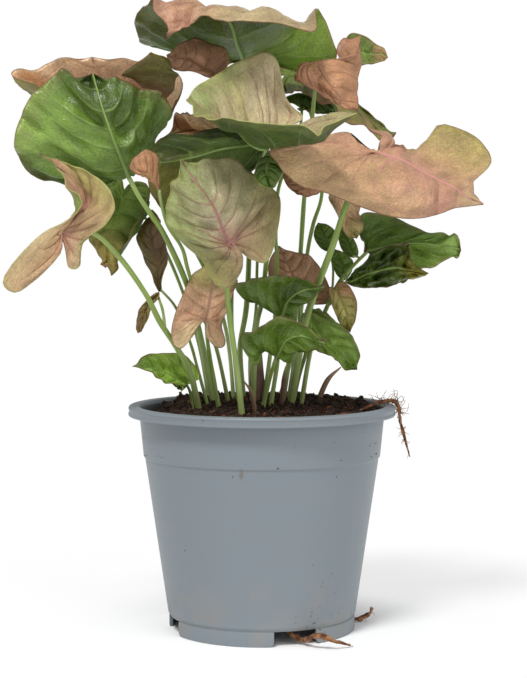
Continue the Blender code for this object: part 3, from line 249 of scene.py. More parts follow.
# Leaves from the top of the plant down. spine runs from the stalk to the tip, a and b are the margins at
# STATIONS, more holds further (flat u, flat v, across, down, nearer) places, stalk its path upwards.
LEAVES = {
    "crown": dict(
        slot="leaf_green", spine=((243, 58, -8), (236, 40, 6), (216, 10, 26), (188, 16, 42), (167, 40, 50)),
        a=((161, 20, 46), (150, 1.5, 36), (135, 18, 22), (139, 38, 8), (160, 49, -6), (234, 63, -11)),
        b=((190, 22.5, 50), (245, 23.5, 50), (316, 10, 30), (336, 54, 14), (302, 72, 2), (254, 60, -8)),
        more=((0.42, -0.2, 262, 11.5, 34), (0.28, -0.33, 295, 21, 38), (0.3, -0.44, 303, 28.5, 45),
              (0.2, -0.475, 317, 26, 39), (0.6, 0.12, 178, 5.5, 38), (0.0, -0.25, 290, 46, 6)),
        stalk=dict(foot=(-12, -44), width=3.6,
                   path=((240, 350, -38), (247, 300, -30), (250, 200, -20), (247, 110, -14)))),
    "tuck": dict(
        slot="leaf_pink", fused=True, shape="narrow",
        spine=((217, 78, 14), (200, 66, 14), (184, 58, 14), (167, 56, 12)),
        a=((178, 45, 10), (198, 37.5, 8), (222, 47, 6), (228, 66, 9)),
        b=((172, 68, 14), (187, 71, 15), (202, 76, 16), (213, 80, 15)),
        stalk=dict(foot=(-15, -22), width=2.2,
                   path=((233, 340, -22), (232, 300, -22), (234, 200, -22), (230, 120, -16), (222, 94, 2)))),
    "fold": dict(
        slot="leaf_tan",
        spine=((319, 61, 22), (327, 79, 26), (339, 97, 26), (350, 108, 24), (357, 111, 22)),
        a=((344, 108.5, 25), (330, 99, 27), (311, 88.5, 29), (296, 79.5, 28), (303, 72, 25), (312, 65, 23)),
        b=((360, 106, 18), (359, 85, 14), (362, 60, 6), (361, 33, 2), (341, 43.5, 2), (335, 61, 21)),
        more=((-0.27, -0.1, 349, 66, 13), (-0.36, -0.16, 336, 53, 4), (-0.08, -0.49, 362.5, 47, 4),
              (-0.31, -0.38, 351, 38, 2)),
        stalk=dict(foot=(13, -34), width=3.0,
                   path=((295, 320, -26), (300, 260, -18), (303, 215, -9), (305, 190, -6), (312, 120, 4),
                         (316, 80, 14)))),
    "fold_back": dict(
        slot="leaf_green", fused=True, shape="narrow",
        spine=((344, 56, -14), (358, 53, -15), (372, 54, -17), (387, 58, -18)),
        a=((380, 46, -17), (366, 37, -16), (352, 33, -15), (344, 45, -14)),
        b=((382, 61, -17), (369, 64, -14), (356, 66, -13), (346, 63, -13)),
        more=((0.92, 0.06, 385.5, 50, -17.5), (0.92, -0.06, 385.5, 60.5, -17.5)),
        stalk=dict(joint=("upper_right", 0.62), width=2.0,
                   path=((327, 160, -30), (330, 110, -36), (340, 80, -34), (344, 66, -24)))),
    "upper_right": dict(
        slot="leaf_green", spine=((300, 76, -22), (330, 88, -18), (362, 112, -14), (393, 138, -10)),
        a=((385, 127, -12), (361, 106, -16), (325, 72, -24), (295, 58, -28), (276, 62, -28), (282, 76, -23)),
        b=((375, 137, -4), (346, 118.5, 2), (322, 101, 4), (300, 92, 2), (284, 93, -2), (282.5, 79, -18)),
        stalk=dict(foot=(17, -46), width=2.6,
                   path=((300, 320, -36), (307, 256, -24), (313, 225, -20), (322, 192, -18),
                         (318, 140, -20), (306, 100, -24)))),
    "dark_right": dict(
        slot="leaf_dark", fused=True, spine=((302, 108, -4), (318, 104, -6), (340, 112, -8)),
        a=((334, 104, -8), (322, 97, -9), (306, 94, -8), (292, 94, -6), (285, 99, -4), (294, 105, -3)),
        b=((333, 113, -6), (322, 112, -4), (312, 112.5, -2), (304, 114, 0), (297, 112, -1), (299, 110, -2)),
        stalk=dict(joint=("dark_mid", 0.55), width=2.2,
                   path=((277, 198, 6), (284, 172, 4), (297, 145, 0), (301, 122, 0)))),
    "dome": dict(
        slot="leaf_silver", spine=((268, 147, 52), (240, 132, 48), (212, 114, 52), (187, 99, 56)),
        a=((193, 89.5, 48), (222, 70, 36), (250, 57, 28), (274, 57, 26), (289, 103, 30), (298, 123, 40)),
        b=((197, 113, 66), (222, 121, 76), (272, 122, 84), (323, 126.5, 84), (356, 117, 70), (314, 119, 52)),
        more=((-0.02, -0.495, 303, 127, 86), (-0.13, -0.48, 318, 137, 88), (-0.32, -0.37, 345, 118.5, 78),
              (-0.36, -0.13, 337, 112, 62), (0.3, -0.18, 228, 130, 60), (-0.02, -0.2, 290, 145, 64),
              (-0.2, -0.28, 325, 137, 72), (0.1, 0.25, 255, 95, 34)),
        stalk=dict(foot=(-6, -12), width=3.2,
                   path=((256, 330, 0), (262, 300, 8), (268, 240, 22), (268, 190, 28), (266, 168, 34),
                         (264, 157, 38)))),
    "pink": dict(
        slot="leaf_pink",
        spine=((376, 151, 20), (404, 161, 24), (432, 177, 26), (458, 190, 24), (482, 205, 18)),
        a=((446, 212, 34), (400, 218.5, 44), (335, 197, 54), (288, 176, 57), (270, 149.5, 56),
           (366, 145, 23)),
        b=((474, 181, 12), (441, 125, -4), (412, 150, 4), (392, 144, 6), (368, 130, 13), (379, 146, 17)),
        more=((0.66, -0.24, 490, 164, 2), (0.56, -0.31, 481, 139, -4), (0.3, -0.44, 430, 152, 0),
              (0.45, -0.2, 440, 158, 8), (-0.3, 0.12, 305, 143, 46), (0.05, 0.25, 350, 182, 46),
              (0.4, 0.2, 420, 198, 40), (-0.22, 0.065, 352, 131, 24), (-0.37, 0.31, 276, 162, 57),
              (-0.28, 0.41, 281, 170, 57), (-0.3, -0.105, 380, 137, 13)),
        stalk=dict(foot=(18, -20), width=4.2,
                   path=((305, 325, 2), (318, 285, 14), (333, 245, 22), (347, 203, 26), (364, 168, 22)))),
    "hook": dict(
        slot="leaf_pink", spine=((60, 230, 54), (82, 214, 52), (86, 196, 46), (66, 170, 48), (37, 153, 56)),
        a=((53, 161, 50), (66, 184, 52), (80, 207, 56), (40, 235, 58), (12, 291.5, 66), (59, 256, 59)),
        b=((62, 161, 46), (96, 176, 50), (115, 203, 58), (95, 231, 60), (80, 266, 60), (66, 254, 57)),
        more=((-0.37, 0.31, 2.5, 281, 66), (-0.3, 0.105, 32, 283, 63), (-0.06, 0.49, 61, 224, 56.5),
              (-0.1, -0.49, 106, 225, 60), (-0.33, -0.38, 78, 243, 58)),
        stalk=dict(foot=(-39.5, 2), width=3.6,
                   path=((190, 372, 16), (175, 345, 25), (160, 322, 32), (145, 293, 40), (120, 258, 46),
                         (93, 233, 47)))),
    "heart": dict(
        slot="leaf_silver", spine=((229, 242, 58), (219, 219, 58), (207, 197, 54), (181, 161, 42)),
        a=((172, 181, 44), (166.5, 206, 46), (172, 232, 52), (199, 259, 58), (228, 288, 62), (240, 256, 61)),
        b=((203, 157, 40), (238, 159.5, 38), (268, 186, 37), (281, 210, 42), (265, 262, 53), (240, 251, 56)),
        more=((-0.3, 0.11, 243, 268, 62), (-0.32, -0.39, 277, 240, 48)),
        stalk=dict(foot=(-12, 33), width=3.4,
                   path=((237, 370, 38), (230, 320, 42), (227, 290, 46), (228, 262, 50)))),
    "dark_mid": dict(
        slot="leaf_dark", spine=((262, 144, 20), (220, 150, 20), (180, 160, 16), (140, 160, 14)),
        a=((150, 147, 14), (172, 134, 14), (205, 134, 14), (240, 137, 12), (262, 137, 14), (267, 142, 18)),
        b=((150, 190, 12), (168, 215, 12), (205, 205, 16), (245, 176, 20), (263, 160, 22), (267, 149, 21)),
        stalk=dict(foot=(1, -20), width=2.6,
                   path=((272, 340, -12), (275, 318, -8), (277, 262, 2), (274, 230, 4), (267, 178, 10),
                         (263, 157, 15)))),
    "small_tip": dict(
        slot="leaf_tan", shape="narrow",
        spine=((159, 190, 46), (151, 179, 48), (141, 173, 49), (129, 168, 50)),
        a=((133, 158, 50), (146, 149.5, 48), (158, 156, 46), (160.5, 178, 45)),
        b=((136, 173.5, 50), (144, 176.5, 50), (151, 182.5, 49), (157, 190, 47)),
        stalk=dict(foot=(-21, -22), width=2.4,
                   path=((216, 347, -4), (200, 310, 8), (188, 270, 22), (182, 248, 30), (168, 226, 38),
                         (161, 202, 43)))),
    "red": dict(
        slot="leaf_tan", fused=True,
        spine=((256, 141, -2), (225, 138, -8), (195, 130, -14), (168, 134, -10)),
        a=((176, 118, -4), (190, 112, 0), (208, 119, 0), (226, 131, 0), (245, 138, 0), (252, 140, -1)),
        b=((172, 145, -2), (190, 150, 2), (210, 148, 4), (228, 144, 2), (245, 143, 0), (252, 142, -1)),
        stalk=dict(foot=(-7, -34), width=2.2,
                   path=((250, 360, -32), (256, 310, -28), (257, 270, -22), (259, 200, -12)))),
    "green": dict(
        slot="leaf_green",
        spine=((128, 176, 30), (119, 153, 38), (109, 127, 44), (100, 100, 46), (93, 72, 38)),
        a=((65, 70.5, 39), (31, 95, 44), (17, 128, 42), (20, 160, 38), (62, 184, 32), (118, 184, 29)),
        b=((118, 78.5, 38), (143, 89, 37), (164, 94, 32), (160, 120, 26), (148, 155, 24), (134, 172, 27)),
        more=((0.9, 0.065, 80, 70.5, 38.5), (0.9, -0.065, 105, 75, 38)),
        stalk=dict(foot=(-30.5, -22), width=3.6,
                   path=((200, 335, -4), (187, 285, 16), (165, 236, 29), (152, 216, 32), (140, 198, 32)))),
    "pink_back": dict(
        slot="leaf_pink", spine=((128, 140, 8), (115, 112, 12), (102, 82, 20), (92, 57, 28)),
        a=((60, 57.5, 29), (28, 70, 32), (36, 84, 36), (30, 100, 36), (70, 120, 24), (115, 140, 9)),
        b=((124, 59, 29), (150, 53.5, 30), (122, 76, 36), (148, 95, 22), (160, 134, 12), (135, 142, 9)),
        more=((0.2, 0.42, 15, 84, 30), (0.33, 0.4, 18, 75, 31), (0.28, -0.36, 165, 60, 30),
              (0.05, -0.4, 172, 74, 25), (-0.08, -0.36, 169, 93, 20), (-0.2, -0.3, 167, 115, 14)),
        stalk=dict(foot=(-18, -32), width=2.4,
                   path=((226, 330, -30), (205, 270, -20), (168, 205, -4), (146, 170, 4)))),
    "left_low": dict(
        slot="leaf_dark", fused=True,
        spine=((122, 198, 10), (114, 225, 14), (108, 248, 16), (106, 268, 18)),
        a=((98, 256, 16), (90, 239, 14), (100, 215, 12), (106, 192, 8), (114, 175, 6), (124, 184, 8)),
        b=((111, 277, 20), (118, 256, 21), (136, 226, 21), (146, 210, 18), (146, 184, 10), (130, 184, 9)),
        more=((0.7, -0.12, 117, 270, 16), (0.4, -0.27, 133, 240, 14), (0.1, -0.36, 150, 216, 13)),
        stalk=dict(foot=(-34, -32), width=2.2,
                   path=((199, 345, -26), (182, 290, -6), (160, 240, 4), (140, 212, 6)))),
    "young_roll": dict(
        slot="leaf_brown", fused=True, shape="narrow",
        spine=((160, 289, 20), (157, 262, 20), (152, 235, 18), (152, 210, 16)),
        a=((146, 222, 14), (139, 240, 14), (145, 262, 16), (156, 281, 19)),
        b=((160, 222, 22), (165, 240, 25), (164, 263, 25), (163, 281, 22)),
        stalk=dict(foot=(-34, -12), width=2.0, path=((198, 370, -4), (190, 342, 4), (176, 308, 14)))),
    "curl": dict(
        slot="leaf_brown", fused=True, shape="narrow",
        spine=((157, 293, 24), (148, 305, 26), (142, 318, 28), (138, 333, 30)),
        a=((136, 327, 30), (138, 314, 29), (145, 301, 27), (154, 293, 25)),
        b=((141, 331, 30), (148, 320, 29), (152, 306, 26), (159, 297, 24)),
        stalk=dict(joint=("hook", 0.42), width=1.8, path=((163, 312, 27), (159, 299, 24.5)))),
    "low_pink": dict(
        slot="leaf_pink", spine=((206, 319, 26), (210, 300, 24), (213, 280, 20), (216, 258, 14)),
        a=((196, 270, 20), (185, 289, 24), (175, 313, 30), (172, 336, 34), (182, 348, 36), (200, 324, 28)),
        b=((234, 278, 16), (234, 290, 18), (228, 310, 24), (222, 328, 28), (218, 346.5, 32), (206, 326, 27)),
        more=((-0.3, 0.11, 192, 337, 33), (-0.3, -0.11, 207, 336, 30), (-0.34, -0.36, 225.5, 342, 31)),
        stalk=dict(foot=(-27, -2), width=2.8, path=((212, 370, 8), (208, 345, 16)))),
    "low_left": dict(
        slot="leaf_green", spine=((186, 384, 4), (168, 374, 10), (150, 368, 16), (132, 367, 20)),
        a=((143, 358, 18), (160, 353, 14), (177, 352.5, 8), (192, 361, 2), (199, 378, 0), (190, 383, 2)),
        b=((146, 373, 20), (159, 380, 18), (172, 386, 14), (180, 387, 9), (185, 387, 6), (186, 385.5, 4.5)),
        stalk=dict(foot=(-44, -8), width=2.0, path=((190, 392, -3),))),
    "low_top": dict(
        slot="leaf_dark", spine=((280, 317.5, 14), (286, 303, 20), (303, 290, 24), (326, 287, 22)),
        a=((312, 281, 27), (292, 277, 28), (268, 276.5, 28), (246, 280, 26), (236, 291, 24), (262, 307, 16)),
        b=((317, 296, 18), (304, 304, 16), (294, 310, 13), (287, 314, 7), (280, 316, 3), (279, 317, 10)),
        more=((-0.34, 0.36, 238, 284, 26), (-0.34, 0.14, 244, 300, 20)),
        stalk=dict(foot=(5, -8), width=2.8, path=((277, 365, 0), (279, 335, 9)))),
    "low_mid": dict(
        slot="leaf_dark", spine=((276, 357, 30), (285, 341, 38), (304, 336, 42), (326, 344, 40)),
        a=((315, 332, 44), (297, 322, 46), (274, 319, 46), (254, 330, 44), (242, 348, 40), (264, 352, 32)),
        b=((317, 350, 36), (305, 352, 33), (296, 354, 29), (289, 357, 22), (281, 359, 18),
           (277.5, 358.5, 26)), more=((-0.36, 0.14, 254, 366, 40),),
        stalk=dict(foot=(-0.5, 8), width=2.6, path=((270, 378, 20),))),
    "low_right": dict(
        slot="leaf_green", spine=((306, 312, -10), (320, 334, 0), (337, 351, 8), (357, 370, 14)),
        a=((360.5, 356, 10), (353, 337, 6), (338, 323, 0), (322, 313, -8), (309, 309, -13), (306, 311, -12)),
        b=((345, 369, 14), (331, 357, 12), (317, 351, 4), (306, 340, -7), (302, 327, -10), (304, 316, -10)),
        stalk=dict(foot=(20, -34), width=2.6, path=((298, 380, -28), (306, 352, -20), (308, 330, -15)))),
    "brown_mid": dict(
        slot="leaf_brown", fused=True,
        spine=((300, 298, -12), (292, 275, -8), (284, 258, -6), (279, 246, -6)),
        a=((291, 251, -8), (309, 256, -12), (325, 277, -14), (331, 299, -14), (318, 305, -13),
           (304, 302, -12)),
        b=((274, 252, -6), (269, 262, -5), (268, 275, -5), (271, 290, -7), (283, 303, -10), (297, 303, -12)),
        stalk=dict(foot=(9, -46), width=2.0, path=((296, 345, -30),))),
    "brown_right": dict(
        slot="leaf_brown", fused=True, spine=((336, 290, 0), (343, 305, 0), (348, 320, 0), (350, 332, 0)),
        a=((355, 322, 0), (357, 303, 0), (352, 290, 0), (346, 284, -1), (341, 282, -2), (337, 286, -1)),
        b=((343, 328, 0), (336, 315, 0), (331, 302, 0), (328, 290, 0), (331, 287, -1), (334, 288, -1)),
        stalk=dict(joint=("right", 0.45), width=1.8, path=((331, 303, -6),))),
    "right": dict(
        slot="leaf_dark", spine=((368, 251, 4), (395, 245, 8), (425, 244, 10), (461, 250, 8)),
        a=((452, 235, 6), (428, 232, 4), (398, 219, 2), (366, 213, 0), (360, 230, 0), (364, 244, 2)),
        b=((450, 259, 12), (432, 268.5, 14), (410, 269, 14), (390, 262, 9), (379, 259, 3),
           (371.3, 253.3, 4.8)), more=((0.93, 0.045, 459, 240, 7), (0.93, -0.045, 458, 258, 9)),
        stalk=dict(foot=(25, -26), width=2.8,
                   path=((312, 345, -20), (328, 305, -12), (340, 281, -8), (355, 264, -3)))),
    "quilted": dict(
        slot="leaf_dark", fused=True, shape="narrow",
        spine=((351, 282, 12), (376, 272, 18), (402, 269, 22), (428, 273, 22)),
        a=((412, 263, 22), (407, 243, 20), (380, 250, 18), (355, 273, 12)),
        b=((416, 279, 22), (396, 285, 20), (373, 288, 18), (355, 286, 13)),
        stalk=dict(joint=("right", 0.68), width=2.0, path=((347, 279, 4),))),
    "small_a": dict(
        slot="leaf_dark", fused=True, shape="narrow",
        spine=((329, 250, -20), (324, 238, -20), (318, 223, -20)),
        a=((315, 228, -20), (314, 237, -20), (318, 245, -20), (326, 251, -20)),
        b=((326, 224, -20), (335, 231, -20), (336, 243, -20), (332, 251, -20)),
        stalk=dict(joint=("right", 0.5), width=1.6, path=((333, 268, -19),))),
    "small_b": dict(
        slot="leaf_dark", fused=True, shape="narrow",
        spine=((353, 256, -22), (348, 242, -22), (341, 227, -22)),
        a=((338, 233, -22), (339, 242, -22), (342, 250, -22), (350, 257, -22)),
        b=((347, 231, -22), (354, 239, -22), (358, 249, -22), (357, 257, -22)),
        stalk=dict(joint=("right", 0.85), width=1.6, path=((359, 258, -14),))),
    "small_c": dict(
        slot="leaf_dark", fused=True, shape="narrow",
        spine=((343, 279, -14), (341, 264, -13), (334, 249, -12)),
        a=((331, 255, -12), (332, 264, -12), (335, 272, -13), (341, 279, -14)),
        b=((343, 252, -12), (353, 262, -12), (351, 273, -13), (345, 280, -14)),
        stalk=dict(joint=("right", 0.46), width=1.6, path=((340, 289, -15),))),
    "tan_lobe": dict(
        slot="leaf_tan", fused=True, spine=((338, 188, 10), (343, 205, 14), (350, 222, 18), (356, 239, 20)),
        a=((349, 236, 20), (340, 221, 18), (332, 205, 14), (328, 194, 10), (331, 186, 8), (335, 186, 9)),
        b=((362, 231, 18), (361, 218, 14), (357, 207, 10), (352, 196, 8), (347, 188, 8), (341, 186, 9)),
        stalk=dict(joint=("upper_right", 0.7), width=1.6, path=((331, 176, -2),))),
    "under_pink": dict(
        slot="leaf_tan", fused=True, spine=((318, 168, 18), (308, 182, 22), (297, 194, 24)),
        a=((288, 187, 23), (283, 177, 21), (288, 166, 19), (300, 160, 17), (310, 160, 16), (316, 165, 17)),
        b=((308, 196, 25), (320, 192, 25), (332, 184, 22), (332, 172, 18), (326, 165, 16), (320, 166, 17)),
        stalk=dict(joint=("fold", 0.66), width=1.6, path=((312, 172, 8),))),
    "wavy": dict(
        slot="leaf_dark", fused=True, shape="narrow",
        spine=((273, 153, 49), (267, 164, 50), (268, 176, 50), (272, 189, 50)),
        a=((262, 185, 49), (254, 177, 48), (258, 165, 48), (269, 155, 48)),
        b=((276, 186, 50), (282, 176, 51), (285, 166, 50), (279, 156, 49)),
        stalk=dict(joint=("dome", 0.7), width=1.6, path=((275, 172, 40), (276, 162, 46)))),
}

# Further pieces that rise from the soil: (across from the axis, nearer) of the foot, then the path.
SHOOTS = {
    "stem_base": dict(
        slot="sheath_purple", paints=("purple", "mauve brown", "purple", "stalk base"), foot=(-3, -26),
        radii=(5.2, 5.0, 2.6), path=((257, 380, -22), (258, 352, -18))),
    "sheath_low": dict(
        slot="sheath_purple", paints=("purple", "purple", "stalk base"), foot=(12.5, -12),
        radii=(1.8, 1.6, 0.5), path=((284, 380, -9), (286, 366, -8))),
    "sheath_tan": dict(
        slot="sheath_dry", paints=("dry dark", "dry"), foot=(-4, 18), radii=(1.7, 1.2, 0.4),
        path=((252, 394, 20), (244, 381, 21))),
    "dry_sliver": dict(
        slot="sheath_dry", paints=("dry dark", "dry"), foot=(35, -38), radii=(1.9, 1.7, 0.4),
        path=((327, 381, -40), (341, 367, -42))),
}

# How each leaf is coloured: which face shows at its stalk, the upper unless said, and places (u, v, paint)
# on both faces. Gloss, quilting, sag and how much the veins show are given where a leaf differs from most.
LOOKS = {
    "crown": dict(
        shows="under", quilt=1.9, gloss=0.9,
        up=((0.9, 0, "warm pink"), (0.5, 0.3, "warm pink"), (0.4, -0.3, "pale sand"), (0, 0, "pale sage")),
        down=((0, 0, "grass"), (0.1, 0.45, "olive dark"), (0.5, 0, "olive dark"), (0.3, 0.2, "dark green"),
              (0.7, 0.1, "olive dark"), (0.3, -0.3, "dark green"), (0.3, -0.1, "dark green"),
              (0.1, -0.4, "lit green"), (-0.1, -0.3, "lit green"), (-0.25, -0.25, "lit green"),
              (-0.1, -0.1, "leaf green"), (-0.2, 0.1, "grass"), (0.2, 0.45, "grass")), rib="vein green",
        under_show=0.7, side_share=0.6, slant=0.3, sag=1.2),
    "tuck": dict(
        up=((0.3, 0, "warm pink"), (0.9, 0, "peach")), veins="rose brown", upper_show=0.4),
    "fold": dict(
        quilt=0.6,
        up=((0.2, 0.3, "tan"), (0.5, -0.3, "coral"), (0, 0, "coral"), (-0.3, -0.3, "tan")),
        down=((0.4, 0, "tan"),), veins="rose brown", rib="rose brown", upper_show=0.5,
        # The dark strands along the folds are painted shade.
        strands=(("crease shade", 0.28, ((0.08, 0.03), (0.24, 0.03), (0.42, 0.03), (0.66, 0.05))),
                 ("crease shade", 0.25, ((0.1, 0.1), (0.2, 0.16), (0.35, 0.24), (0.52, 0.28))))),
    "fold_back": dict(
        up=((0.5, 0, "grass"), (0.9, 0, "tan")), veins="vein green", edge="edge pink"),
    "upper_right": dict(
        up=((0.5, 0, "leaf green"), (0.5, -0.22, "leaf green"), (0.5, -0.35, "tan"), (0.2, -0.45, "tan"),
            (0.75, -0.15, "tan"), (0.1, -0.25, "grass"), (0.9, 0, "grass"), (0, 0, "grass")),
        veins="vein green", upper_show=0.3, edge="edge pink", gloss=0.4),
    "dark_right": dict(
        up=((0.5, 0, "deep green"),), veins="vein green", gloss=1, upper_show=0.5, quilt=2),
    "dome": dict(
        quilt=0.8,
        up=((0.1, 0.3, "cream"), (0.5, 0.1, "cream"), (0.9, 0, "sage"), (-0.2, 0.3, "cream"),
            (0, 0, "cream"), (0, -0.5, "yellow rim"), (0.5, -0.4, "yellow rim"), (0.7, 0.2, "sage"),
            (0.4, 0.4, "sage"), (0.3, 0.2, "pale sage")),
        down=((0.3, 0, "deep green"), (0, -0.4, "deep green"), (-0.2, -0.3, "dark green"),
              (0.4, -0.3, "dark green")), veins="mauve", upper_show=0.9, side_share=0.8,
        strands=(("mauve", 0.35, ((0.02, 0.02), (0.06, 0.14), (0.1, 0.28), (0.1, 0.42))),
                 ("mauve", 0.35, ((0.0, 0.03), (-0.08, 0.14), (-0.12, 0.3), (-0.1, 0.42)))), under_show=0.4,
        edge="edge yellow"),
    "pink": dict(
        quilt=0.9, gloss=0.3,
        up=((0.1, 0.4, "sand"), (-0.2, 0.35, "sand"), (0.1, 0.15, "sand"), (0.4, 0.25, "sand"),
            (0.3, 0.1, "warm pink"), (0.7, 0.12, "rose"), (0.4, 0, "rose"), (0.5, 0.2, "rose"),
            (0.5, -0.12, "peach"), (0.58, -0.26, "flap olive"), (0.45, -0.36, "flap olive"),
            (0.4, -0.44, "flap olive"), (0.3, -0.38, "flap olive"), (0, -0.3, "mauve"), (0.2, -0.2, "rose"),
            (0.95, 0, "pale sand"), (0, 0, "rose")), veins="pink rib", upper_show=0.95, side_share=0.35,
        strands=(("pink rib", 0.6, ((0.19, 0.01), (0.15, 0.08), (0.15, 0.19), (0.19, 0.27), (0.25, 0.33),
                                    (0.36, 0.35), (0.45, 0.33))),)),
    "hook": dict(
        quilt=0.8, gloss=0.3, sag=1.0,
        up=((0.9, 0, "peach"), (0.65, 0.2, "rosy"), (0.35, 0.05, "rose"), (0.2, 0.2, "mauve"),
            (-0.2, 0.4, "pale sand"), (-0.1, 0.2, "sand"), (-0.3, -0.3, "pale sand"),
            (0.3, -0.4, "pale olive"), (0.6, -0.2, "pale olive"), (0, 0, "rose"), (0.1, -0.2, "fawn")),
        down=((0.5, 0, "fawn"), (-0.3, 0.3, "pale sand"), (0, 0.4, "leaf green")), veins="mauve",
        upper_show=0.7, side_share=0.5, edge="edge yellow"),
    "heart": dict(
        quilt=1.1, gloss=0.35,
        # Near the midrib on the right half, the brighter silver places are a painted highlight over the
        # leaf's silver.
        up=((0.35, 0.08, "silver"), (0.0, 0.0, "blush"), (0.12, 0, "blush"), (0.5, 0.35, "sage"),
            (0.3, -0.3, "silver highlight"), (-0.3, 0.3, "moss"), (0.9, 0, "sage"), (-0.2, -0.35, "moss"),
            (0.1, 0.45, "sage"), (0.6, -0.15, "silver highlight"), (0.2, 0.3, "sage"),
            (0.3, -0.15, "silver highlight"), (0.1, -0.4, "pale sage"), (-0.15, -0.2, "rosy"),
            (0.16, -0.24, "silver highlight")), veins="vein pink", upper_show=0.9, side_share=0.6,
        edge="edge yellow",
        strands=(("vein pink", 0.45, ((0.01, -0.03), (-0.11, -0.2), (-0.12, -0.33), (-0.13, -0.41))),
                 ("vein pink", 0.45, ((0.02, 0.03), (0.1, 0.12), (0.21, 0.24), (0.22, 0.38))),
                 # The dark strand along a fold is painted shade.
                 ("crease shade", 0.35, ((-0.05, 0.06), (-0.16, 0.18), (-0.24, 0.28), (-0.33, 0.34))))),
    "dark_mid": dict(
        shows="under", up=((0.5, 0, "sage"),), under_show=0.3, gloss=0.5,
        down=((0.7, -0.2, "olive"), (0.3, 0, "grass"), (0, 0.4, "dark green"), (0.6, 0.2, "deep green"),
              (0.3, -0.3, "deep green"))),
    "small_tip": dict(up=((0.5, 0, "coral"),), veins="rose brown", upper_show=0.12),
    "red": dict(
        up=((0.5, 0, "pale glow"), (0.9, 0, "peach")), veins="umber", upper_show=0.6,
        sag=3.0),
    "green": dict(
        shows="under", quilt=1.7, gloss=0.9, up=((0.5, 0, "warm pink"), (0, 0.3, "sand")), rib="vein green",
        under_show=0.7, side_share=0.6, slant=0.2, sag=3.0,
        down=((0.3, 0.15, "leaf green"), (0.1, 0.45, "bright green"), (0.45, 0.38, "bright green"),
              (0.9, 0, "dark green"), (0.8, 0.12, "deep green"), (0.8, -0.1, "deep green"),
              (0.2, -0.3, "grass"), (0.5, -0.35, "deep green"), (-0.2, -0.2, "grass"),
              (-0.3, 0.3, "deep green")), edge="edge pink"),
    "pink_back": dict(
        up=((0.9, 0, "pale glow"), (0.6, 0.3, "pale glow"), (0.6, -0.2, "pale glow"),
            (0.2, 0.42, "pale glow"), (0.3, 0, "pale glow"), (0.2, -0.4, "pale glow"),
            (-0.2, -0.35, "rose brown")),
        down=((0.3, -0.3, "olive dark"), (0.1, -0.45, "olive dark"), (0.3, 0.3, "olive"),
              (-0.2, -0.3, "rose brown")), veins="coral", upper_show=0.3, under_show=0.3),
    "left_low": dict(
        up=((0.1, 0, "leaf green"), (0.8, 0, "olive"), (0.2, -0.3, "grass"), (0.95, 0, "tan")),
        veins="vein green", upper_show=0.2, quilt=1.3),
    "young_roll": dict(
        up=((0.5, 0, "umber"), (0.5, 0.2, "olive dark")), veins="umber", upper_show=0.3),
    "curl": dict(
        up=((0.5, 0, "olive brown"), (0.9, 0, "brown")), veins="umber", upper_show=0.3),
    "low_pink": dict(
        quilt=0.8,
        up=((0.2, 0, "pink glow"), (-0.3, 0.2, "pale sand"), (0.8, 0, "pale olive"), (0.1, 0.3, "peach")),
        veins="mauve", upper_show=0.6, side_share=0.5),
    "low_left": dict(
        quilt=1.3, gloss=0.6, up=((0.4, 0, "lit green"), (0.9, 0, "vein green")),
        veins="vein green", upper_show=0.4),
    "low_top": dict(
        shows="under", quilt=1.3, gloss=0.9, up=((0.4, 0, "deep green"),), under_show=0.4, side_share=0.35,
        down=((0.4, 0, "deep green"), (-0.1, 0.3, "grass"), (0, 0, "leaf green"), (0.2, -0.2, "grass"))),
    "low_mid": dict(
        shows="under", quilt=1.3, gloss=0.9, up=((0.4, 0, "deep green"),), under_show=0.4, side_share=0.35,
        down=((0.4, 0, "leaf green"), (-0.2, 0.3, "grass"), (0, 0, "leaf green"), (0.3, 0.3, "grass"))),
    "low_right": dict(
        quilt=1.3, up=((0.4, 0, "bright green"), (0.9, 0, "leaf green"), (0, 0.3, "sage")),
        veins="vein green", gloss=0.9, upper_show=0.4, side_share=0.5),
    "brown_mid": dict(
        up=((0.4, 0, "peach"), (0, 0, "coral")), veins="rose brown", upper_show=0.7),
    "brown_right": dict(
        up=((0.4, 0, "pale olive"), (0.9, 0, "olive"), (0, 0.3, "coral")), veins="olive",
        upper_show=0.4),
    "right": dict(
        shows="under", quilt=1.5, gloss=0.8, up=((0.4, 0, "deep green"),), under_show=0.5, side_share=0.4,
        edge="edge pink",
        down=((0.1, 0.3, "grass"), (0.3, -0.1, "leaf green"), (0.8, 0, "bright green"),
              (0.4, -0.3, "bright green"), (0.6, 0.15, "leaf green"))),
    "quilted": dict(
        quilt=2.4, up=((0.4, 0, "dark green"), (0.2, 0, "deep green"), (0.98, 0, "olive")),
        veins="bright green", gloss=1.2, upper_show=0.7, side_share=0.15, fine=True, sag=2.5,
        sag_sizes=(9.0, 6.0, 4.0)),
    "small_a": dict(up=((0.4, 0, "grass"),), veins="dim vein", upper_show=0.3, gloss=0.6),
    "tan_lobe": dict(
        up=((0.4, 0, "pink glow"), (0.9, 0, "pale olive")), veins="tan", upper_show=0.3),
    "under_pink": dict(
        up=((0.4, 0, "tan"), (0, 0, "rose brown")), veins="rose brown", upper_show=0.3),
    "wavy": dict(
        quilt=1.5, up=((0.4, 0, "deep green"), (0.8, 0.2, "grass")), veins="dim vein",
        gloss=0.7, upper_show=0.5, edge="edge yellow"),
}
for alike in ("small_b", "small_c"):
    LOOKS[alike] = LOOKS["small_a"]


# Places and curves

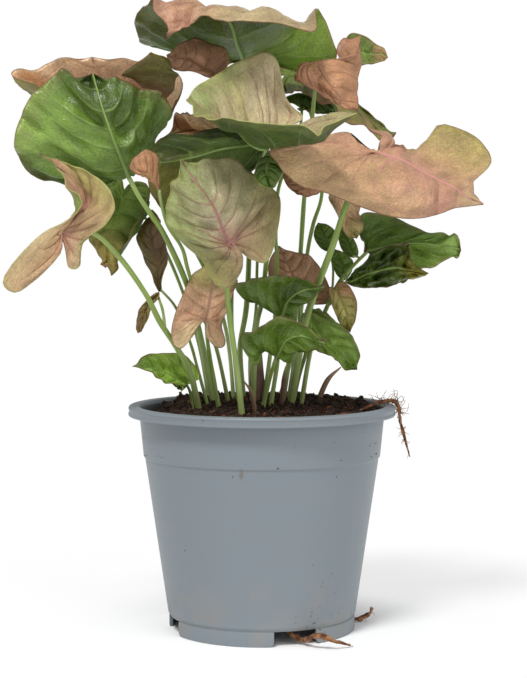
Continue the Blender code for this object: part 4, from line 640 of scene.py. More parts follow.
def sight(place):
    """Millimetres from the foot of the pot's axis of a place seen at (across, down, nearer)."""
    across, down, nearer = place
    nearer = nearer * (1 + CROWN_SPREAD * min(max((CROWN_FROM - down) / CROWN_FADE, 0), 1))
    cos, sin = math.cos(EYE_TILT), math.sin(EYE_TILT)
    ahead, up = np.array([0.0, cos, -sin]), np.array([0.0, sin, cos])
    ray = ahead + np.array([1.0, 0.0, 0.0]) * (across - VIEW_MIDDLE[0]) / EYE_REACH
    ray = ray + up * (VIEW_MIDDLE[1] - down) / EYE_REACH
    return EYE + ray * (-nearer - EYE[1]) / ray[1]


def smooth_path(points, steps):
    """Points of a smooth curve through the given ones, this many steps for each span."""
    points = np.asarray(points, float)
    ends = np.vstack([2 * points[0] - points[1], points, 2 * points[-1] - points[-2]])
    made = []
    for i in range(1, len(ends) - 2):
        before, start, end, after = ends[i - 1:i + 3]
        for t in np.arange(steps) / steps:
            square = 2 * before - 5 * start + 4 * end - after
            cube = 3 * start - before - 3 * end + after
            made.append(0.5 * (2 * start + (end - before) * t + square * t ** 2 + cube * t ** 3))
    return np.array(made + [points[-1]])


def steps_along(points):
    """How far each point lies along a line of points."""
    return np.concatenate([[0], np.cumsum(np.linalg.norm(np.diff(points, axis=0), axis=1))])


def full_turn(steps):
    return np.linspace(0, 2 * math.pi, steps, endpoint=False)


def smoothstep(low, high, value):
    t = np.clip((value - low) / (high - low), 0, 1)
    return t * t * (3 - 2 * t)


def lumps(x, y, seed, sizes):
    """An even mix of waves of these sizes, about -1 to 1 and the same each time for a seed."""
    draw = np.random.default_rng(seed)
    height = np.zeros_like(x)
    for size in sizes:
        for _ in range(4):
            turn, phase = draw.uniform(0, 2 * math.pi, 2)
            way = (x * math.cos(turn) + y * math.sin(turn)) * 2 * math.pi / size
            height += size / 2 / sizes[0] * np.sin(way + phase)
    return height


def linear(paint, depth=1.0):
    """A colour as the eye sees it, deepened, turned into the light values that a shader takes."""
    c = np.array(PAINTS[paint]) / 255
    c = np.clip(c.mean() + (c - c.mean()) * depth, 0, 1)
    return np.where(c <= 0.04045, c / 12.92, ((c + 0.055) / 1.055) ** 2.4)


# Meshes and pieces

def plain_mesh(name, points, faces):
    """A mesh from points in millimetres from the foot of the pot's axis."""
    mesh = bpy.data.meshes.new(name)
    places = [tuple(p) for p in (np.asarray(points) + AXIS) * MM]
    mesh.from_pydata(places, [], [tuple(int(i) for i in f) for f in faces])
    return mesh


def grid_faces(rows, columns, round_rows=False, round_columns=False):
    """Four-sided faces over rows of points, the last row or column joined to the first where it is round."""
    faces = []
    for i in range(rows if round_rows else rows - 1):
        here, there = i * columns, (i + 1) % rows * columns
        for j in range(columns if round_columns else columns - 1):
            k = (j + 1) % columns
            faces.append((here + j, there + j, there + k, here + k))
    return faces


def keep_values(mesh, label, values, domain="POINT"):
    """Keeps a vector or a colour on the mesh for each point or each face corner."""
    kind, field = {3: ("FLOAT_VECTOR", "vector"), 4: ("FLOAT_COLOR", "color")}[values.shape[1]]
    mesh.attributes.new(label, kind, domain).data.foreach_set(field, values.ravel())


def place_piece(name, mesh, *materials, closed=True):
    """A piece of the scene, its doubled points merged and, where it is closed, its faces turned outwards."""
    bm = bmesh.new()
    bm.from_mesh(mesh)
    bmesh.ops.remove_doubles(bm, verts=bm.verts, dist=MERGE)
    if closed:
        bmesh.ops.recalc_face_normals(bm, faces=bm.faces)
        if bm.calc_volume(signed=True) < 0:
            bmesh.ops.reverse_faces(bm, faces=bm.faces)
    bm.to_mesh(mesh)
    bm.free()
    mesh.polygons.foreach_set("use_smooth", [True] * len(mesh.polygons))
    piece = bpy.data.objects.new(name, mesh)
    bpy.context.scene.collection.objects.link(piece)
    for material in materials:
        mesh.materials.append(MATERIALS[material])
    return piece


def bake(piece):
    """The piece's modifiers applied."""
    bpy.context.view_layer.update()
    made = bpy.data.meshes.new_from_object(piece.evaluated_get(bpy.context.evaluated_depsgraph_get()))
    piece.modifiers.clear()
    piece.data = made


def join(name, first, *others):
    """Several meshes made one piece."""
    both = [first, *others]
    with bpy.context.temp_override(active_object=first, object=first, selected_editable_objects=both,
                                   selected_objects=both):
        bpy.ops.object.join()
    first.name = name
    return first


def strand_tints(share, *paints):
    """Colours along a strand, blended evenly from paint to paint."""
    at = np.linspace(0, 1, len(paints))
    colours = np.array([linear(p) for p in paints])
    return np.stack([np.interp(share, at, colours[:, k]) for k in range(3)], 1)


def tube_rings(path, radii, sides=STALK_SIDES):
    """Rings of points round a path, each turned from the last as little as possible."""
    tangents = np.gradient(path, axis=0)
    tangents /= np.linalg.norm(tangents, axis=1)[:, None]
    side = np.cross(tangents[0], [0.0, 1.0, 0.0])
    first = []
    for tangent in tangents:
        side = side - tangent * (side @ tangent)
        side = side / np.linalg.norm(side)
        first.append(side)
    first = np.array(first)
    second = np.cross(tangents, first)
    turn = full_turn(sides)
    ring = first[:, None] * np.cos(turn)[None, :, None] + second[:, None] * np.sin(turn)[None, :, None]
    return path[:, None] + ring * np.asarray(radii)[:, None, None]


def add_tube(name, rings, material, tints):
    """A closed tube through rings of points, each with a tint. The way along and round it is kept too."""
    rows, sides = rings.shape[:2]
    last = (rows - 1) * sides
    verts = list(rings.reshape(-1, 3)) + [rings[0].mean(0), rings[-1].mean(0)]
    faces = [(a, d, c, b) for a, b, c, d in grid_faces(rows, sides, round_columns=True)]
    faces += [(rows * sides, (j + 1) % sides, j) for j in range(sides)]
    faces += [(rows * sides + 1, last + j, last + (j + 1) % sides) for j in range(sides)]
    mesh = plain_mesh(name, verts, faces)
    middles = rings.mean(1)
    girth = np.linalg.norm(rings - middles[:, None], axis=2) * 2 * math.pi
    turn = np.abs(np.arange(sides) / sides - 0.5)
    along = np.repeat(steps_along(middles), sides)
    way = np.stack([along, (girth * turn).ravel(), np.zeros(rows * sides)], 1)
    keep_values(mesh, "way", np.vstack([way, way[0] * [1, 0, 0], way[-1] * [1, 0, 0]]))
    tints = np.vstack([np.repeat(tints, sides, axis=0), tints[0], tints[-1]])
    keep_values(mesh, "tint", np.hstack([tints, np.ones((len(tints), 1))]))
    return place_piece(name, mesh, material)


# Leaves

def thin_plate(sites, targets):
    """The smoothest map of the flat leaf that takes every site to its target."""
    sites, targets = np.asarray(sites, float), np.asarray(targets, float)

    def kernel(at):
        gap = np.linalg.norm(at[:, None] - sites[None], axis=2)
        return gap ** 2 * np.log(gap + 1e-12)

    flat = np.hstack([np.ones((len(sites), 1)), sites])
    system = np.block([[kernel(sites), flat], [flat.T, np.zeros((3, 3))]])
    weights = np.linalg.solve(system, np.vstack([targets, np.zeros((3, targets.shape[1]))]))

    def mapped(at):
        at = np.asarray(at, float)
        return np.hstack([kernel(at), np.ones((len(at), 1)), at]) @ weights

    return mapped


def leaf_surface(leaf):
    """The map from the flat leaf to millimetres in space."""
    spine = leaf["spine"]
    pins = [(i / (len(spine) - 1), 0.0, *place) for i, place in enumerate(spine)]
    for side, margin in ((1, leaf["a"]), (-1, leaf["b"])):
        stations = STATIONS[leaf.get("shape", "arrow")]
        pins += [(u, side * v, *place) for (u, v), place in zip(stations, margin)]
    pins += leaf.get("more", ())
    return thin_plate([pin[:2] for pin in pins], [sight(pin[2:]) for pin in pins])


def sheet_normals(surface, flat):
    """Directions square to the sheet at flat places."""
    step = 0.004
    along = surface(flat + [step, 0]) - surface(flat - [step, 0])
    across = surface(flat + [0, step]) - surface(flat - [0, step])
    normal = np.cross(along, across)
    return normal / np.linalg.norm(normal, axis=1)[:, None]


def upper_sign(name, surface):
    """1 where the sheet's own normals stand on the leaf's upper face, -1 where they stand on the lower."""
    at = np.array([[0.02, 0.0]])
    toward_eye = sheet_normals(surface, at)[0] @ (EYE - surface(at)[0])
    return math.copysign(1, toward_eye) * (1 if LOOKS[name].get("shows", "upper") == "upper" else -1)


def is_fine(name):
    leaf = LEAVES[name]
    return LOOKS[name].get("fine", leaf.get("shape", "arrow") == "arrow" and not leaf.get("fused"))


def half_leaf(name, side):
    """Flat places of one half, with the order of the nearest veins and the share of the ray's way out.

    Rays are crowded at each vein. A whole order is a vein, and halves lie midway between two."""
    shape, fine = LEAVES[name].get("shape", "arrow"), is_fine(name)
    outline = smooth_path(OUTLINES[shape], 12)
    along = steps_along(outline)
    shares = VEIN_SHARES[shape]
    veins = len(shares) - 1
    order = np.array([k + gap for k in range(1, veins) for gap in RAY_GAPS[fine]] + [veins - 0.5])
    share = np.interp(order, [0.5, *range(1, veins), veins - 0.5], shares)
    rim = np.array([[np.interp(s * along[-1], along, outline[:, k]) for k in (0, 1)] for s in share])
    root = np.clip(rim[:, 0] - LOOKS[name].get("slant", VEIN_SLANT) * rim[:, 1], 0, 1)
    t = np.linspace(0, 1, (LEAF_STEPS if fine else LEAF_STEPS // 2) + 1)[None, :]
    u = root[:, None] * (1 - t) + rim[:, :1] * t - VEIN_BOW * np.sin(math.pi * t) * np.abs(rim[:, 1:])
    flat = np.stack([u, side * rim[:, 1:] * t], axis=-1)
    return flat, np.repeat(order[:, None], t.size, axis=1), np.repeat(t, len(order), axis=0)


def blade_push(name, flat, order, out, span, side):
    """How far the sheet is raised: puffed between veins, waved at its margin and sagging here and there."""
    look = LOOKS[name]
    between = np.abs(np.sin(math.pi * (order % 1))) ** 0.8
    room = smoothstep(0.03, 0.25, out) * (1 - smoothstep(0.66, 0.92, out))
    puff = np.minimum(QUILT * look.get("quilt", 1.0), QUILT_LIMIT * span) * between * room
    wave = RIM_WAVE * np.sin(order * 4.1 + side) * smoothstep(0.7, 1.0, out) * smoothstep(0.3, 1.5, order)
    sag = lumps(flat[..., 0], flat[..., 1], len(name), look.get("sag_sizes", SAG_SIZES))
    return puff + wave + look.get("sag", SAG) * smoothstep(0, 0.3, out) * sag


def half_blade(name, surface, sign, side):
    """One half of a blade: points ray by ray, and what is known of each of them."""
    line = surface(np.stack([np.linspace(0, 1, 20), np.zeros(20)], 1))
    length = float(steps_along(line)[-1])
    flat, order, out = half_leaf(name, side)
    at = surface(flat.reshape(-1, 2)).reshape(flat.shape[:2] + (3,))
    span = np.linalg.norm(np.gradient(at, order[:, 0], axis=0), axis=2)
    ray = np.array([steps_along(points) for points in at])
    push = blade_push(name, flat * length, order, out, span, side)
    normals = sheet_normals(surface, flat.reshape(-1, 2)).reshape(at.shape) * sign
    maps = {
        "vein_map": (order, out, span),
        "reach_map": (np.abs(flat[..., 1]) * length, ray[:, -1:] - ray, (out - RING_SHARE) * ray[:, -1:]),
        "flat_map": (flat[..., 0] * length, flat[..., 1] * length, flat[..., 0]),
        "flat": (flat[..., 0], flat[..., 1]),
        "push": (push,),
    }
    return at + normals * push[..., None], {label: np.stack(parts, -1) for label, parts in maps.items()}


def blended(places, flat):
    """Colour at flat places, each a mix of the painted places weighted by nearness."""
    sites = np.array([(u, v) for u, v, _ in places], float)
    paints = np.array([linear(p, LEAF_DEPTH) for _, _, p in places])
    gap = np.linalg.norm(flat[:, None] - sites[None], axis=2)
    weight = 1 / (gap ** 2 + PAINT_SOFT) ** 1.5
    return (weight[..., None] * paints[None]).sum(1) / weight.sum(1)[:, None]


def leaf_colours(name, flat):
    """Colours of a blade at flat places, the fourth value being how much gloss or vein shows."""
    look = LOOKS[name]
    gloss = look.get("gloss", 0)
    colours = {
        "upper_tint": (blended(look["up"], flat), gloss),
        "under_tint": (blended(look.get("down", ((0.4, 0, "grass"),)), flat), gloss),
        "upper_vein": (linear(look.get("veins", "vein pink")), look.get("upper_show", 0.6)),
        "under_vein": (linear(look.get("rib", "vein green")), look.get("under_show", 0.5)),
        "edge_tint": (linear(look.get("edge", "edge brown")), look.get("side_share", 1.0)),
    }
    count = len(flat)
    return {label: np.hstack([np.broadcast_to(values, (count, 3)), np.full((count, 1), fourth)])
            for label, (values, fourth) in colours.items()}


def add_blade(name):
    """The blade of one leaf and the strands on it, with what the leaf materials read kept on the blade."""
    surface = leaf_surface(LEAVES[name])
    sign = upper_sign(name, surface)
    verts, faces, kept = [], [], {}
    for side in (1, -1):
        at, maps = half_blade(name, surface, sign, side)
        made = [tuple(len(verts) + k for k in face) for face in grid_faces(*at.shape[:2])]
        faces += [face[::-1] for face in made] if side * sign > 0 else made
        verts += list(at.reshape(-1, 3))
        for label, values in maps.items():
            kept.setdefault(label, []).append(values.reshape(-1, values.shape[-1]))
    kept = {label: np.concatenate(halves) for label, halves in kept.items()}
    flat, push = kept.pop("flat"), kept.pop("push")[:, 0]
    mesh = plain_mesh("blade_" + name, verts, faces)
    corner = np.empty(len(mesh.loops), np.int32)
    mesh.loops.foreach_get("vertex_index", corner)
    for label, values in {**kept, **leaf_colours(name, flat)}.items():
        keep_values(mesh, label, values[corner], "CORNER")
    blade = place_piece("blade_" + name, mesh, "leaf upper", "leaf under", closed=False)
    thick = blade.modifiers.new("thickness", "SOLIDIFY")
    thick.thickness = BLADE * MM
    thick.offset = 0
    thick.material_offset = 1
    bake(blade)
    strands = [leaf_strand(f"strand_{name}_{k}", plan, surface, sign, flat, push)
               for k, plan in enumerate(LOOKS[name].get("strands", ()))]
    return [blade, *strands]


def leaf_strand(name, plan, surface, sign, places, pushes):
    """A raised vein, or a dark strand of painted shade along a fold, that runs over the upper face through
    flat places.
    """
    paint, radius, line = plan
    flat = smooth_path(line, 8)
    nearest = np.linalg.norm(flat[:, None] - places[None], axis=2).argmin(1)
    lift = pushes[nearest] + BLADE / 2 - radius * STRAND_SINK
    path = surface(flat) + sheet_normals(surface, flat) * sign * lift[:, None]
    share = np.linspace(0, 1, len(path))
    rings = tube_rings(path, radius * (1 - STRAND_TAPER * share), STRAND_SIDES)
    return add_tube(name, rings, "stalk", strand_tints(share, paint))


# Stalks

def soil_top(x, y):
    """Height of the soil's surface, in millimetres: raised round the stalks and low at the left."""
    heaped = sum(high * math.exp(-((x - at_x) ** 2 + (y - at_y) ** 2) / (2 * spread ** 2))
                 for high, at_x, at_y, spread in SOIL_HEAPS)
    return SOIL_LEVEL + heaped - SOIL_SINK / (1 + math.exp((x - SOIL_SINK_X) / SOIL_SINK_FADE))


def foot_point(foot):
    x, nearer = foot
    return np.array([x, -nearer, soil_top(x, -nearer) - FOOT_SINK])


def stalk_path(name, steps=STALK_STEPS):
    """Middle line of a stalk from its foot to the leaf, in millimetres."""
    leaf = LEAVES[name]
    stalk = leaf["stalk"]
    top = leaf_surface(leaf)(np.array([[0.0, 0.0]]))[0]
    if "foot" in stalk:
        start = foot_point(stalk["foot"])
    else:
        parent, share = stalk["joint"]
        trunk = stalk_path(parent, 3)
        start = trunk[int(share * (len(trunk) - 1))]
    return smooth_path([start, *(sight(place) for place in stalk["path"]), top], steps)


def add_stalk(name):
    """A stalk, and the midrib that carries on from it along the under face of the leaf."""
    look, leaf = LOOKS[name], LEAVES[name]
    path = stalk_path(name)
    share = np.linspace(0, 1, len(path))
    radii = leaf["stalk"]["width"] / 2 * (1 - STALK_TAPER * share)
    uneven = STALK_FLARE * np.exp(-share / 0.04) + STALK_UNEVEN * np.sin(share * 23 + len(name))
    radii = radii * STALK_GIRTH * (1 + uneven)
    surface = leaf_surface(leaf)
    sign = upper_sign(name, surface)
    path[-1] = path[-1] - sheet_normals(surface, np.array([[0.0, 0.0]]))[0] * sign * STALK_DROP
    tints = strand_tints(share ** 0.7, *STALK_PAINTS)
    stalk = add_tube("petiole_" + name, tube_rings(path, radii), "stalk", tints)
    u = np.linspace(0.0, RIB_REACH, 40)
    flat = np.stack([u, np.zeros_like(u)], 1)
    rib_radii = radii[-1] * RIB_SHARE * (1 - u / 0.95) ** 0.8 + RIB_LEAST
    rib = surface(flat) - sheet_normals(surface, flat) * sign * np.maximum(rib_radii - 0.15, 0.1)[:, None]
    tints = strand_tints(u, look.get("rib", "vein green"))
    return stalk, add_tube("midrib_" + name, tube_rings(rib, rib_radii, RIB_SIDES), "stalk", tints)


# Nodes

FLOAT, VECTOR, COLOUR = "NodeSocketFloat", "NodeSocketVector", "NodeSocketColor"


class Value:
    """What a node gives out: a number, a place or a colour that varies, with sums written as plain sums."""

    def __init__(self, socket):
        self.socket = socket
        self.tree = socket.id_data

    def __add__(self, other):
        return calc("ADD", self, other)

    def __sub__(self, other):
        return calc("SUBTRACT", self, other)

    def __mul__(self, other):
        return calc("MULTIPLY", self, other)

    def __abs__(self):
        return calc("ABSOLUTE", self)


def feed(socket, value):
    """Links a varying value to a socket, or sets a plain one on it."""
    if isinstance(value, Value):
        socket.id_data.links.new(value.socket, socket)
    else:
        socket.default_value = value


def node(tree, kind, inputs=None, output=0, **settings):
    """What a new node gives out, its settings made and its inputs fed."""
    made = tree.nodes.new(kind)
    for label, value in settings.items():
        setattr(made, label, value)
    for place, value in (inputs or {}).items():
        feed(made.inputs[place], value)
    return Value(made.outputs[output])


def calc(operation, first, second=0.0):
    return node(first.tree, "ShaderNodeMath", {0: first, 1: second}, operation=operation)


def greatest(first, *others):
    for other in others:
        first = calc("MAXIMUM", first, other)
    return first


def vector_calc(operation, first, second, output=0):
    return node(first.tree, "ShaderNodeVectorMath", {0: first, 1: second}, output, operation=operation)


def scaled(vector, scale):
    return node(vector.tree, "ShaderNodeVectorMath", {0: vector, "Scale": scale}, operation="SCALE")


def length_of(vector):
    return vector_calc("LENGTH", vector, (0.0, 0.0, 0.0), "Value")


def ramp(value, low, high, start=0.0, end=1.0):
    """A smooth climb from start to end while the value goes from low to high."""
    return node(value.tree, "ShaderNodeMapRange", {0: value, 1: low, 2: high, 3: start, 4: end},
                interpolation_type="SMOOTHSTEP")


def mixed(share, first, second):
    """A colour this share of the way from the first to the second."""
    return node(share.tree, "ShaderNodeMix", {0: share, 6: first, 7: second}, 2, data_type="RGBA")


def noise(place, scale, detail=2.0):
    return node(place.tree, "ShaderNodeTexNoise", {"Vector": place, "Scale": scale, "Detail": detail}, "Fac")


def cells(place, scale, feature="F1"):
    """Distance to the middle of the nearest cell, or to its edge, in a pattern of cells."""
    inputs = {"Vector": place, "Scale": scale}
    return node(place.tree, "ShaderNodeTexVoronoi", inputs, "Distance", feature=feature)


def stretched(place, scale):
    return node(place.tree, "ShaderNodeMapping", {"Vector": place, "Scale": scale})


def parts_of(vector):
    made = vector.tree.nodes.new("ShaderNodeSeparateXYZ")
    feed(made.inputs[0], vector)
    return [Value(part) for part in made.outputs]


def attribute(tree, label, output="Vector"):
    return node(tree, "ShaderNodeAttribute", {}, output, attribute_name=label)


def place_in_space(tree):
    return node(tree, "ShaderNodeTexCoord", {}, "Object")


def from_axis(place):
    """Distance of each point from the upright axis of the pot, in metres."""
    apart = vector_calc("SUBTRACT", place, tuple(AXIS * MM))
    return length_of(vector_calc("MULTIPLY", apart, (1.0, 1.0, 0.0)))


def paint(name):
    return (*linear(name), 1.0)


def new_group(name, kind, takes, gives):
    """An empty group with its named inputs and outputs: (tree, what it takes, what it gives)."""
    tree = bpy.data.node_groups.new(name, kind)
    for way, sockets in (("INPUT", takes), ("OUTPUT", gives)):
        for label, socket_type in sockets.items():
            tree.interface.new_socket(label, in_out=way, socket_type=socket_type)
    taken = tree.nodes.new("NodeGroupInput").outputs
    return tree, {label: Value(taken[label]) for label in takes}, tree.nodes.new("NodeGroupOutput").inputs


def use_group(tree, name, feeds):
    """What a group gives out in a material, with its named inputs fed."""
    made = tree.nodes.new("ShaderNodeGroup")
    made.node_tree = GROUPS[name]
    for label, value in feeds.items():
        feed(made.inputs[label], value)
    return {socket.name: Value(socket) for socket in made.outputs}


# Effects that change over a surface

def vein_mask(takes, flat):
    """Where the side veins, the fine ones midway between them, the looped one and the midrib lie."""
    order, out, span = parts_of(takes["Vein Map"])
    rib, _, ring = parts_of(takes["Reach Map"])
    share = parts_of(takes["Flat Map"])[2]
    wander = (noise(flat, 0.35, 1.0) - 0.5) * 1.1
    aside = calc("PINGPONG", order, 0.5)
    fade = ramp(out, 0.82, 0.93, 1.0, 0.0) * (out * -0.45 + 1.0)
    near = abs(aside * span + wander) - (out * -0.42 + 0.5)
    side = ramp(near, 0.0, 0.5, 1.0, 0.0) * fade
    midway = abs((aside * -1.0 + 0.5) * span + wander)
    between = ramp(midway, 0.1, 0.5, 0.35, 0.0) * (fade * ramp(out, 0.1, 0.35))
    loop = ramp(abs(ring + wander), 0.1, 0.55, 0.45, 0.0)
    middle = ramp(rib - (share * -0.65 + 0.8), 0.0, 0.35, 1.0, 0.0)
    return greatest(greatest(side, between, loop) * takes["Side Share"], middle)


def leaf_face_group():
    """Colour, roughness and height over one face of a leaf, from where each point lies on it."""
    tree, takes, gives = new_group(
        "Leaf Face", "ShaderNodeTree",
        {"Tint": COLOUR, "Vein Tint": COLOUR, "Edge Tint": COLOUR, "Vein Map": VECTOR, "Reach Map": VECTOR,
         "Flat Map": VECTOR, "Gloss": FLOAT, "Vein Show": FLOAT, "Side Share": FLOAT, "Net Show": FLOAT,
         "Vein Lift": FLOAT},
        {"Colour": COLOUR, "Roughness": FLOAT, "Height": FLOAT})
    _, edge, ring = parts_of(takes["Reach Map"])
    along, across, _ = parts_of(takes["Flat Map"])
    flat = node(tree, "ShaderNodeCombineXYZ", {0: along, 1: across})
    vein_tint, edge_tint, show = takes["Vein Tint"], takes["Edge Tint"], takes["Vein Show"]
    veins = vein_mask(takes, flat)
    net = ramp(cells(flat, 0.42, "DISTANCE_TO_EDGE"), 0.02, 0.13, 1.0, 0.0)
    fine, speckle = noise(flat, 0.8, 3.0), noise(flat, 2.2)

    patches = ramp(noise(flat, 0.11, 3.0), 0.25, 0.75, 0.74, 1.2)
    shade = patches * ramp(fine, 0.25, 0.75, 0.8, 1.15) * ramp(speckle, 0.3, 0.7, 0.8, 1.16)
    flush = ramp(noise(flat, 0.05, 3.0), 0.45, 0.75) * 0.22
    colour = mixed(flush * show, scaled(takes["Tint"], shade), vein_tint)
    colour = mixed(ramp(ring, -0.5, 1.5) * 0.12, colour, edge_tint)
    colour = mixed(net * takes["Net Show"], colour, vein_tint)
    colour = mixed(veins * show, colour, vein_tint)
    feed(gives["Colour"], mixed(ramp(edge, 0.2, 0.75, 0.75, 0.0), colour, edge_tint))

    dull = takes["Gloss"] * -0.19 + 0.46 + ramp(fine, 0.2, 0.8, -0.05, 0.07)
    feed(gives["Roughness"], veins * 0.06 + dull)
    grain = speckle * 0.3 + fine * 0.6
    feed(gives["Height"], (net * 0.3 + veins) * takes["Vein Lift"] + grain)
    return tree


def grime_group():
    """Dust and dark specks over a surface: colour, and a mask of how dirty it is."""
    tree, takes, gives = new_group(
        "Grime", "ShaderNodeTree",
        {"Clean": COLOUR, "Dust": COLOUR, "Speck": COLOUR, "Place": VECTOR, "Dusty": FLOAT,
         "Speckled": FLOAT},
        {"Colour": COLOUR, "Mask": FLOAT})
    place = takes["Place"]
    film = ramp(noise(place, 45.0, 5.0), 0.42, 0.72) * takes["Dusty"]
    chosen = ramp(noise(place, 38.0), 0.55, 0.7)
    dots = ramp(cells(place, 260.0), 0.12, 0.26, 1.0, 0.0) * chosen * takes["Speckled"]
    feed(gives["Colour"], mixed(dots, mixed(film, takes["Clean"], takes["Dust"]), takes["Speck"]))
    feed(gives["Mask"], greatest(film, dots))
    return tree


# Materials

def new_material(name, specular):
    """A material, its tree and its shader, with how strongly it mirrors set on the shader."""
    material = bpy.data.materials.new(name)
    material.use_nodes = True
    shader = material.node_tree.nodes["Principled BSDF"]
    shader.inputs["Specular IOR Level"].default_value = specular
    return material, material.node_tree, shader


def coat(shader, colour, roughness, height, lift):
    """Feeds a shader its colour, its roughness and the height that its bumps are read from."""
    feed(shader.inputs["Base Color"], colour)
    feed(shader.inputs["Roughness"], roughness)
    bumps = {"Height": height, "Distance": lift, "Strength": 1.0}
    feed(shader.inputs["Normal"], node(shader.id_data, "ShaderNodeBump", bumps))


def leaf_material(face, net_show, vein_lift, specular):
    material, tree, shader = new_material("leaf " + face, specular)
    feeds = {"Net Show": net_show, "Vein Lift": vein_lift}
    tints = {face + "_tint": ("Tint", "Gloss"), face + "_vein": ("Vein Tint", "Vein Show"),
             "edge_tint": ("Edge Tint", "Side Share")}
    for label, (tint, fourth) in tints.items():
        feeds[tint] = attribute(tree, label, "Color")
        feeds[fourth] = attribute(tree, label, "Alpha")
    for label in ("Vein Map", "Reach Map", "Flat Map"):
        feeds[label] = attribute(tree, label.lower().replace(" ", "_"))
    made = use_group(tree, "leaf face", feeds)
    coat(shader, made["Colour"], made["Roughness"], made["Height"], 0.0004)
    return material


def stalk_material(name, roughness):
    """Fleshy stalk: its own tint with fine streaks along it and a few darker flecks."""
    material, tree, shader = new_material(name, 0.45)
    way = attribute(tree, "way")
    streak = noise(stretched(way, (0.06, 1.3, 1.0)), 1.0, 3.0)
    patch = noise(stretched(way, (0.03, 0.05, 1.0)), 1.0)
    shade = ramp(streak, 0.3, 0.7, 0.85, 1.1) * ramp(patch, 0.3, 0.7, 0.88, 1.08)
    coat(shader, scaled(attribute(tree, "tint", "Color"), shade),
         ramp(patch, 0.2, 0.8, roughness - 0.06, roughness + 0.08), streak, 0.00015)
    return material


def wall_radius(z):
    """Outside radius of the pot's wall at a height."""
    heights = (BASE_HEIGHT + BASE_ROUND, STEP_HEIGHT - STEP_DROP, STEP_HEIGHT, RIM_TOP)
    return float(np.interp(z, heights, (BASE_RADIUS, STEP_RADIUS - STEP_IN, STEP_RADIUS, NECK_RADIUS)))


def moulded_plastic(place):
    """The pot's own colour: mottled a little, with faint level bands."""
    mottled = mixed(noise(place, 22.0, 3.0), paint("pot blue"), paint("pot grey"))
    bands = ramp(noise(stretched(place, (1.0, 1.0, 14.0)), 16.0, 4.0), 0.3, 0.7, 0.0, 0.15)
    return mixed(bands, mottled, paint("pot dust"))


def pot_stain(place):
    """How strong the small ragged stain on the front of the pot is at each point."""
    apart = vector_calc("SUBTRACT", place, tuple((sight(POT_STAIN) + AXIS) * MM))
    reach = length_of(vector_calc("MULTIPLY", apart, (1.0, 0.4, 0.45)))
    near, far = POT_STAIN_REACH
    return ramp(noise(place, 500.0) * 0.0012 + reach, near * MM, far * MM, 0.7, 0.0)


def shaded_inner_wall(place, height):
    """How much painted shade darkens each point: much on the inner wall above the step, none elsewhere."""
    slope = (wall_radius(RIM_TOP) - wall_radius(STEP_HEIGHT)) / (RIM_TOP - STEP_HEIGHT)
    start = (wall_radius(RIM_TOP) - WALL / 2 - slope * RIM_TOP) * MM
    inside = height * slope + start - from_axis(place)
    below_rim = ramp(height, (RIM_TOP - 3) * MM, (RIM_TOP - 0.5) * MM, 1.0, 0.0)
    above_step = ramp(height, (STEP_HEIGHT + 3) * MM, (STEP_HEIGHT + 5) * MM)
    return ramp(inside, 0.0, 0.4 * MM, 0.0, 0.7) * (below_rim * above_step)


def pot_material():
    """Matt blue-grey moulded plastic with fine scuffs, greyer at the bottom, dirt specks, one stain and
    painted shade on the inner wall.
    """
    material, tree, shader = new_material("pot plastic", 0.35)
    place = place_in_space(tree)
    across, _, height = parts_of(place)
    grime = use_group(tree, "grime", {
        "Clean": moulded_plastic(place), "Dust": paint("pot dust"), "Speck": paint("soil"), "Place": place,
        "Dusty": ramp(height, 0.0, 0.05, 1.0, 0.12),
        "Speckled": ramp(height, 0.01, 0.075, 1.0, 0.1) * ramp(across, 0.015, 0.055, 0.12, 1.0)})
    fleck = ramp(cells(place, 150.0), 0.06, 0.12, 0.8, 0.0) * ramp(noise(place, 90.0, 1.0), 0.6, 0.66)
    colour = mixed(fleck, grime["Colour"], paint("soil brown"))
    colour = mixed(pot_stain(place), colour, paint("pot stain"))
    # Painted shade: the inner wall above the step is darkened with the soil colour.
    colour = mixed(shaded_inner_wall(place, height), colour, paint("soil"))
    dirt = grime["Mask"]
    coat(shader, colour, ramp(dirt, 0.0, 1.0, 0.42, 0.7), dirt * 0.5 + noise(place, 900.0), 0.0001)
    return material


def crumbly_material(name, first, second, scale, lift, roughness=0.9):
    """A rough grainy stuff of two colours, such as peat, bark or root skin."""
    material, tree, shader = new_material(name, 0.25)
    grain = noise(place_in_space(tree), scale, 5.0)
    coat(shader, mixed(ramp(grain, 0.35, 0.68), paint(first), paint(second)),
         ramp(grain, 0.3, 0.7, roughness - 0.12, min(roughness + 0.1, 1.0)), grain, lift)
    return material


def grey(value):
    return node(value.tree, "ShaderNodeCombineColor", {0: value, 1: value, 2: value})


def floor_material():
    """Pale studio floor that glows a little away from the pot, so that far shadows on it stay faint."""
    material, tree, shader = new_material("pale floor", 0.1)
    shader.inputs["Roughness"].default_value = 0.9
    place = place_in_space(tree)
    near, far = FLOOR_GLOW_REACH
    glow = ramp(from_axis(place), near * MM, far * MM, 0.0, FLOOR_GLOW)
    feed(shader.inputs["Base Color"], grey(ramp(noise(place, 3.0), 0.3, 0.7, 0.97, 1.0) - glow))
    feed(shader.inputs["Emission Color"], grey(glow))
    shader.inputs["Emission Strength"].default_value = 1.0
    return material


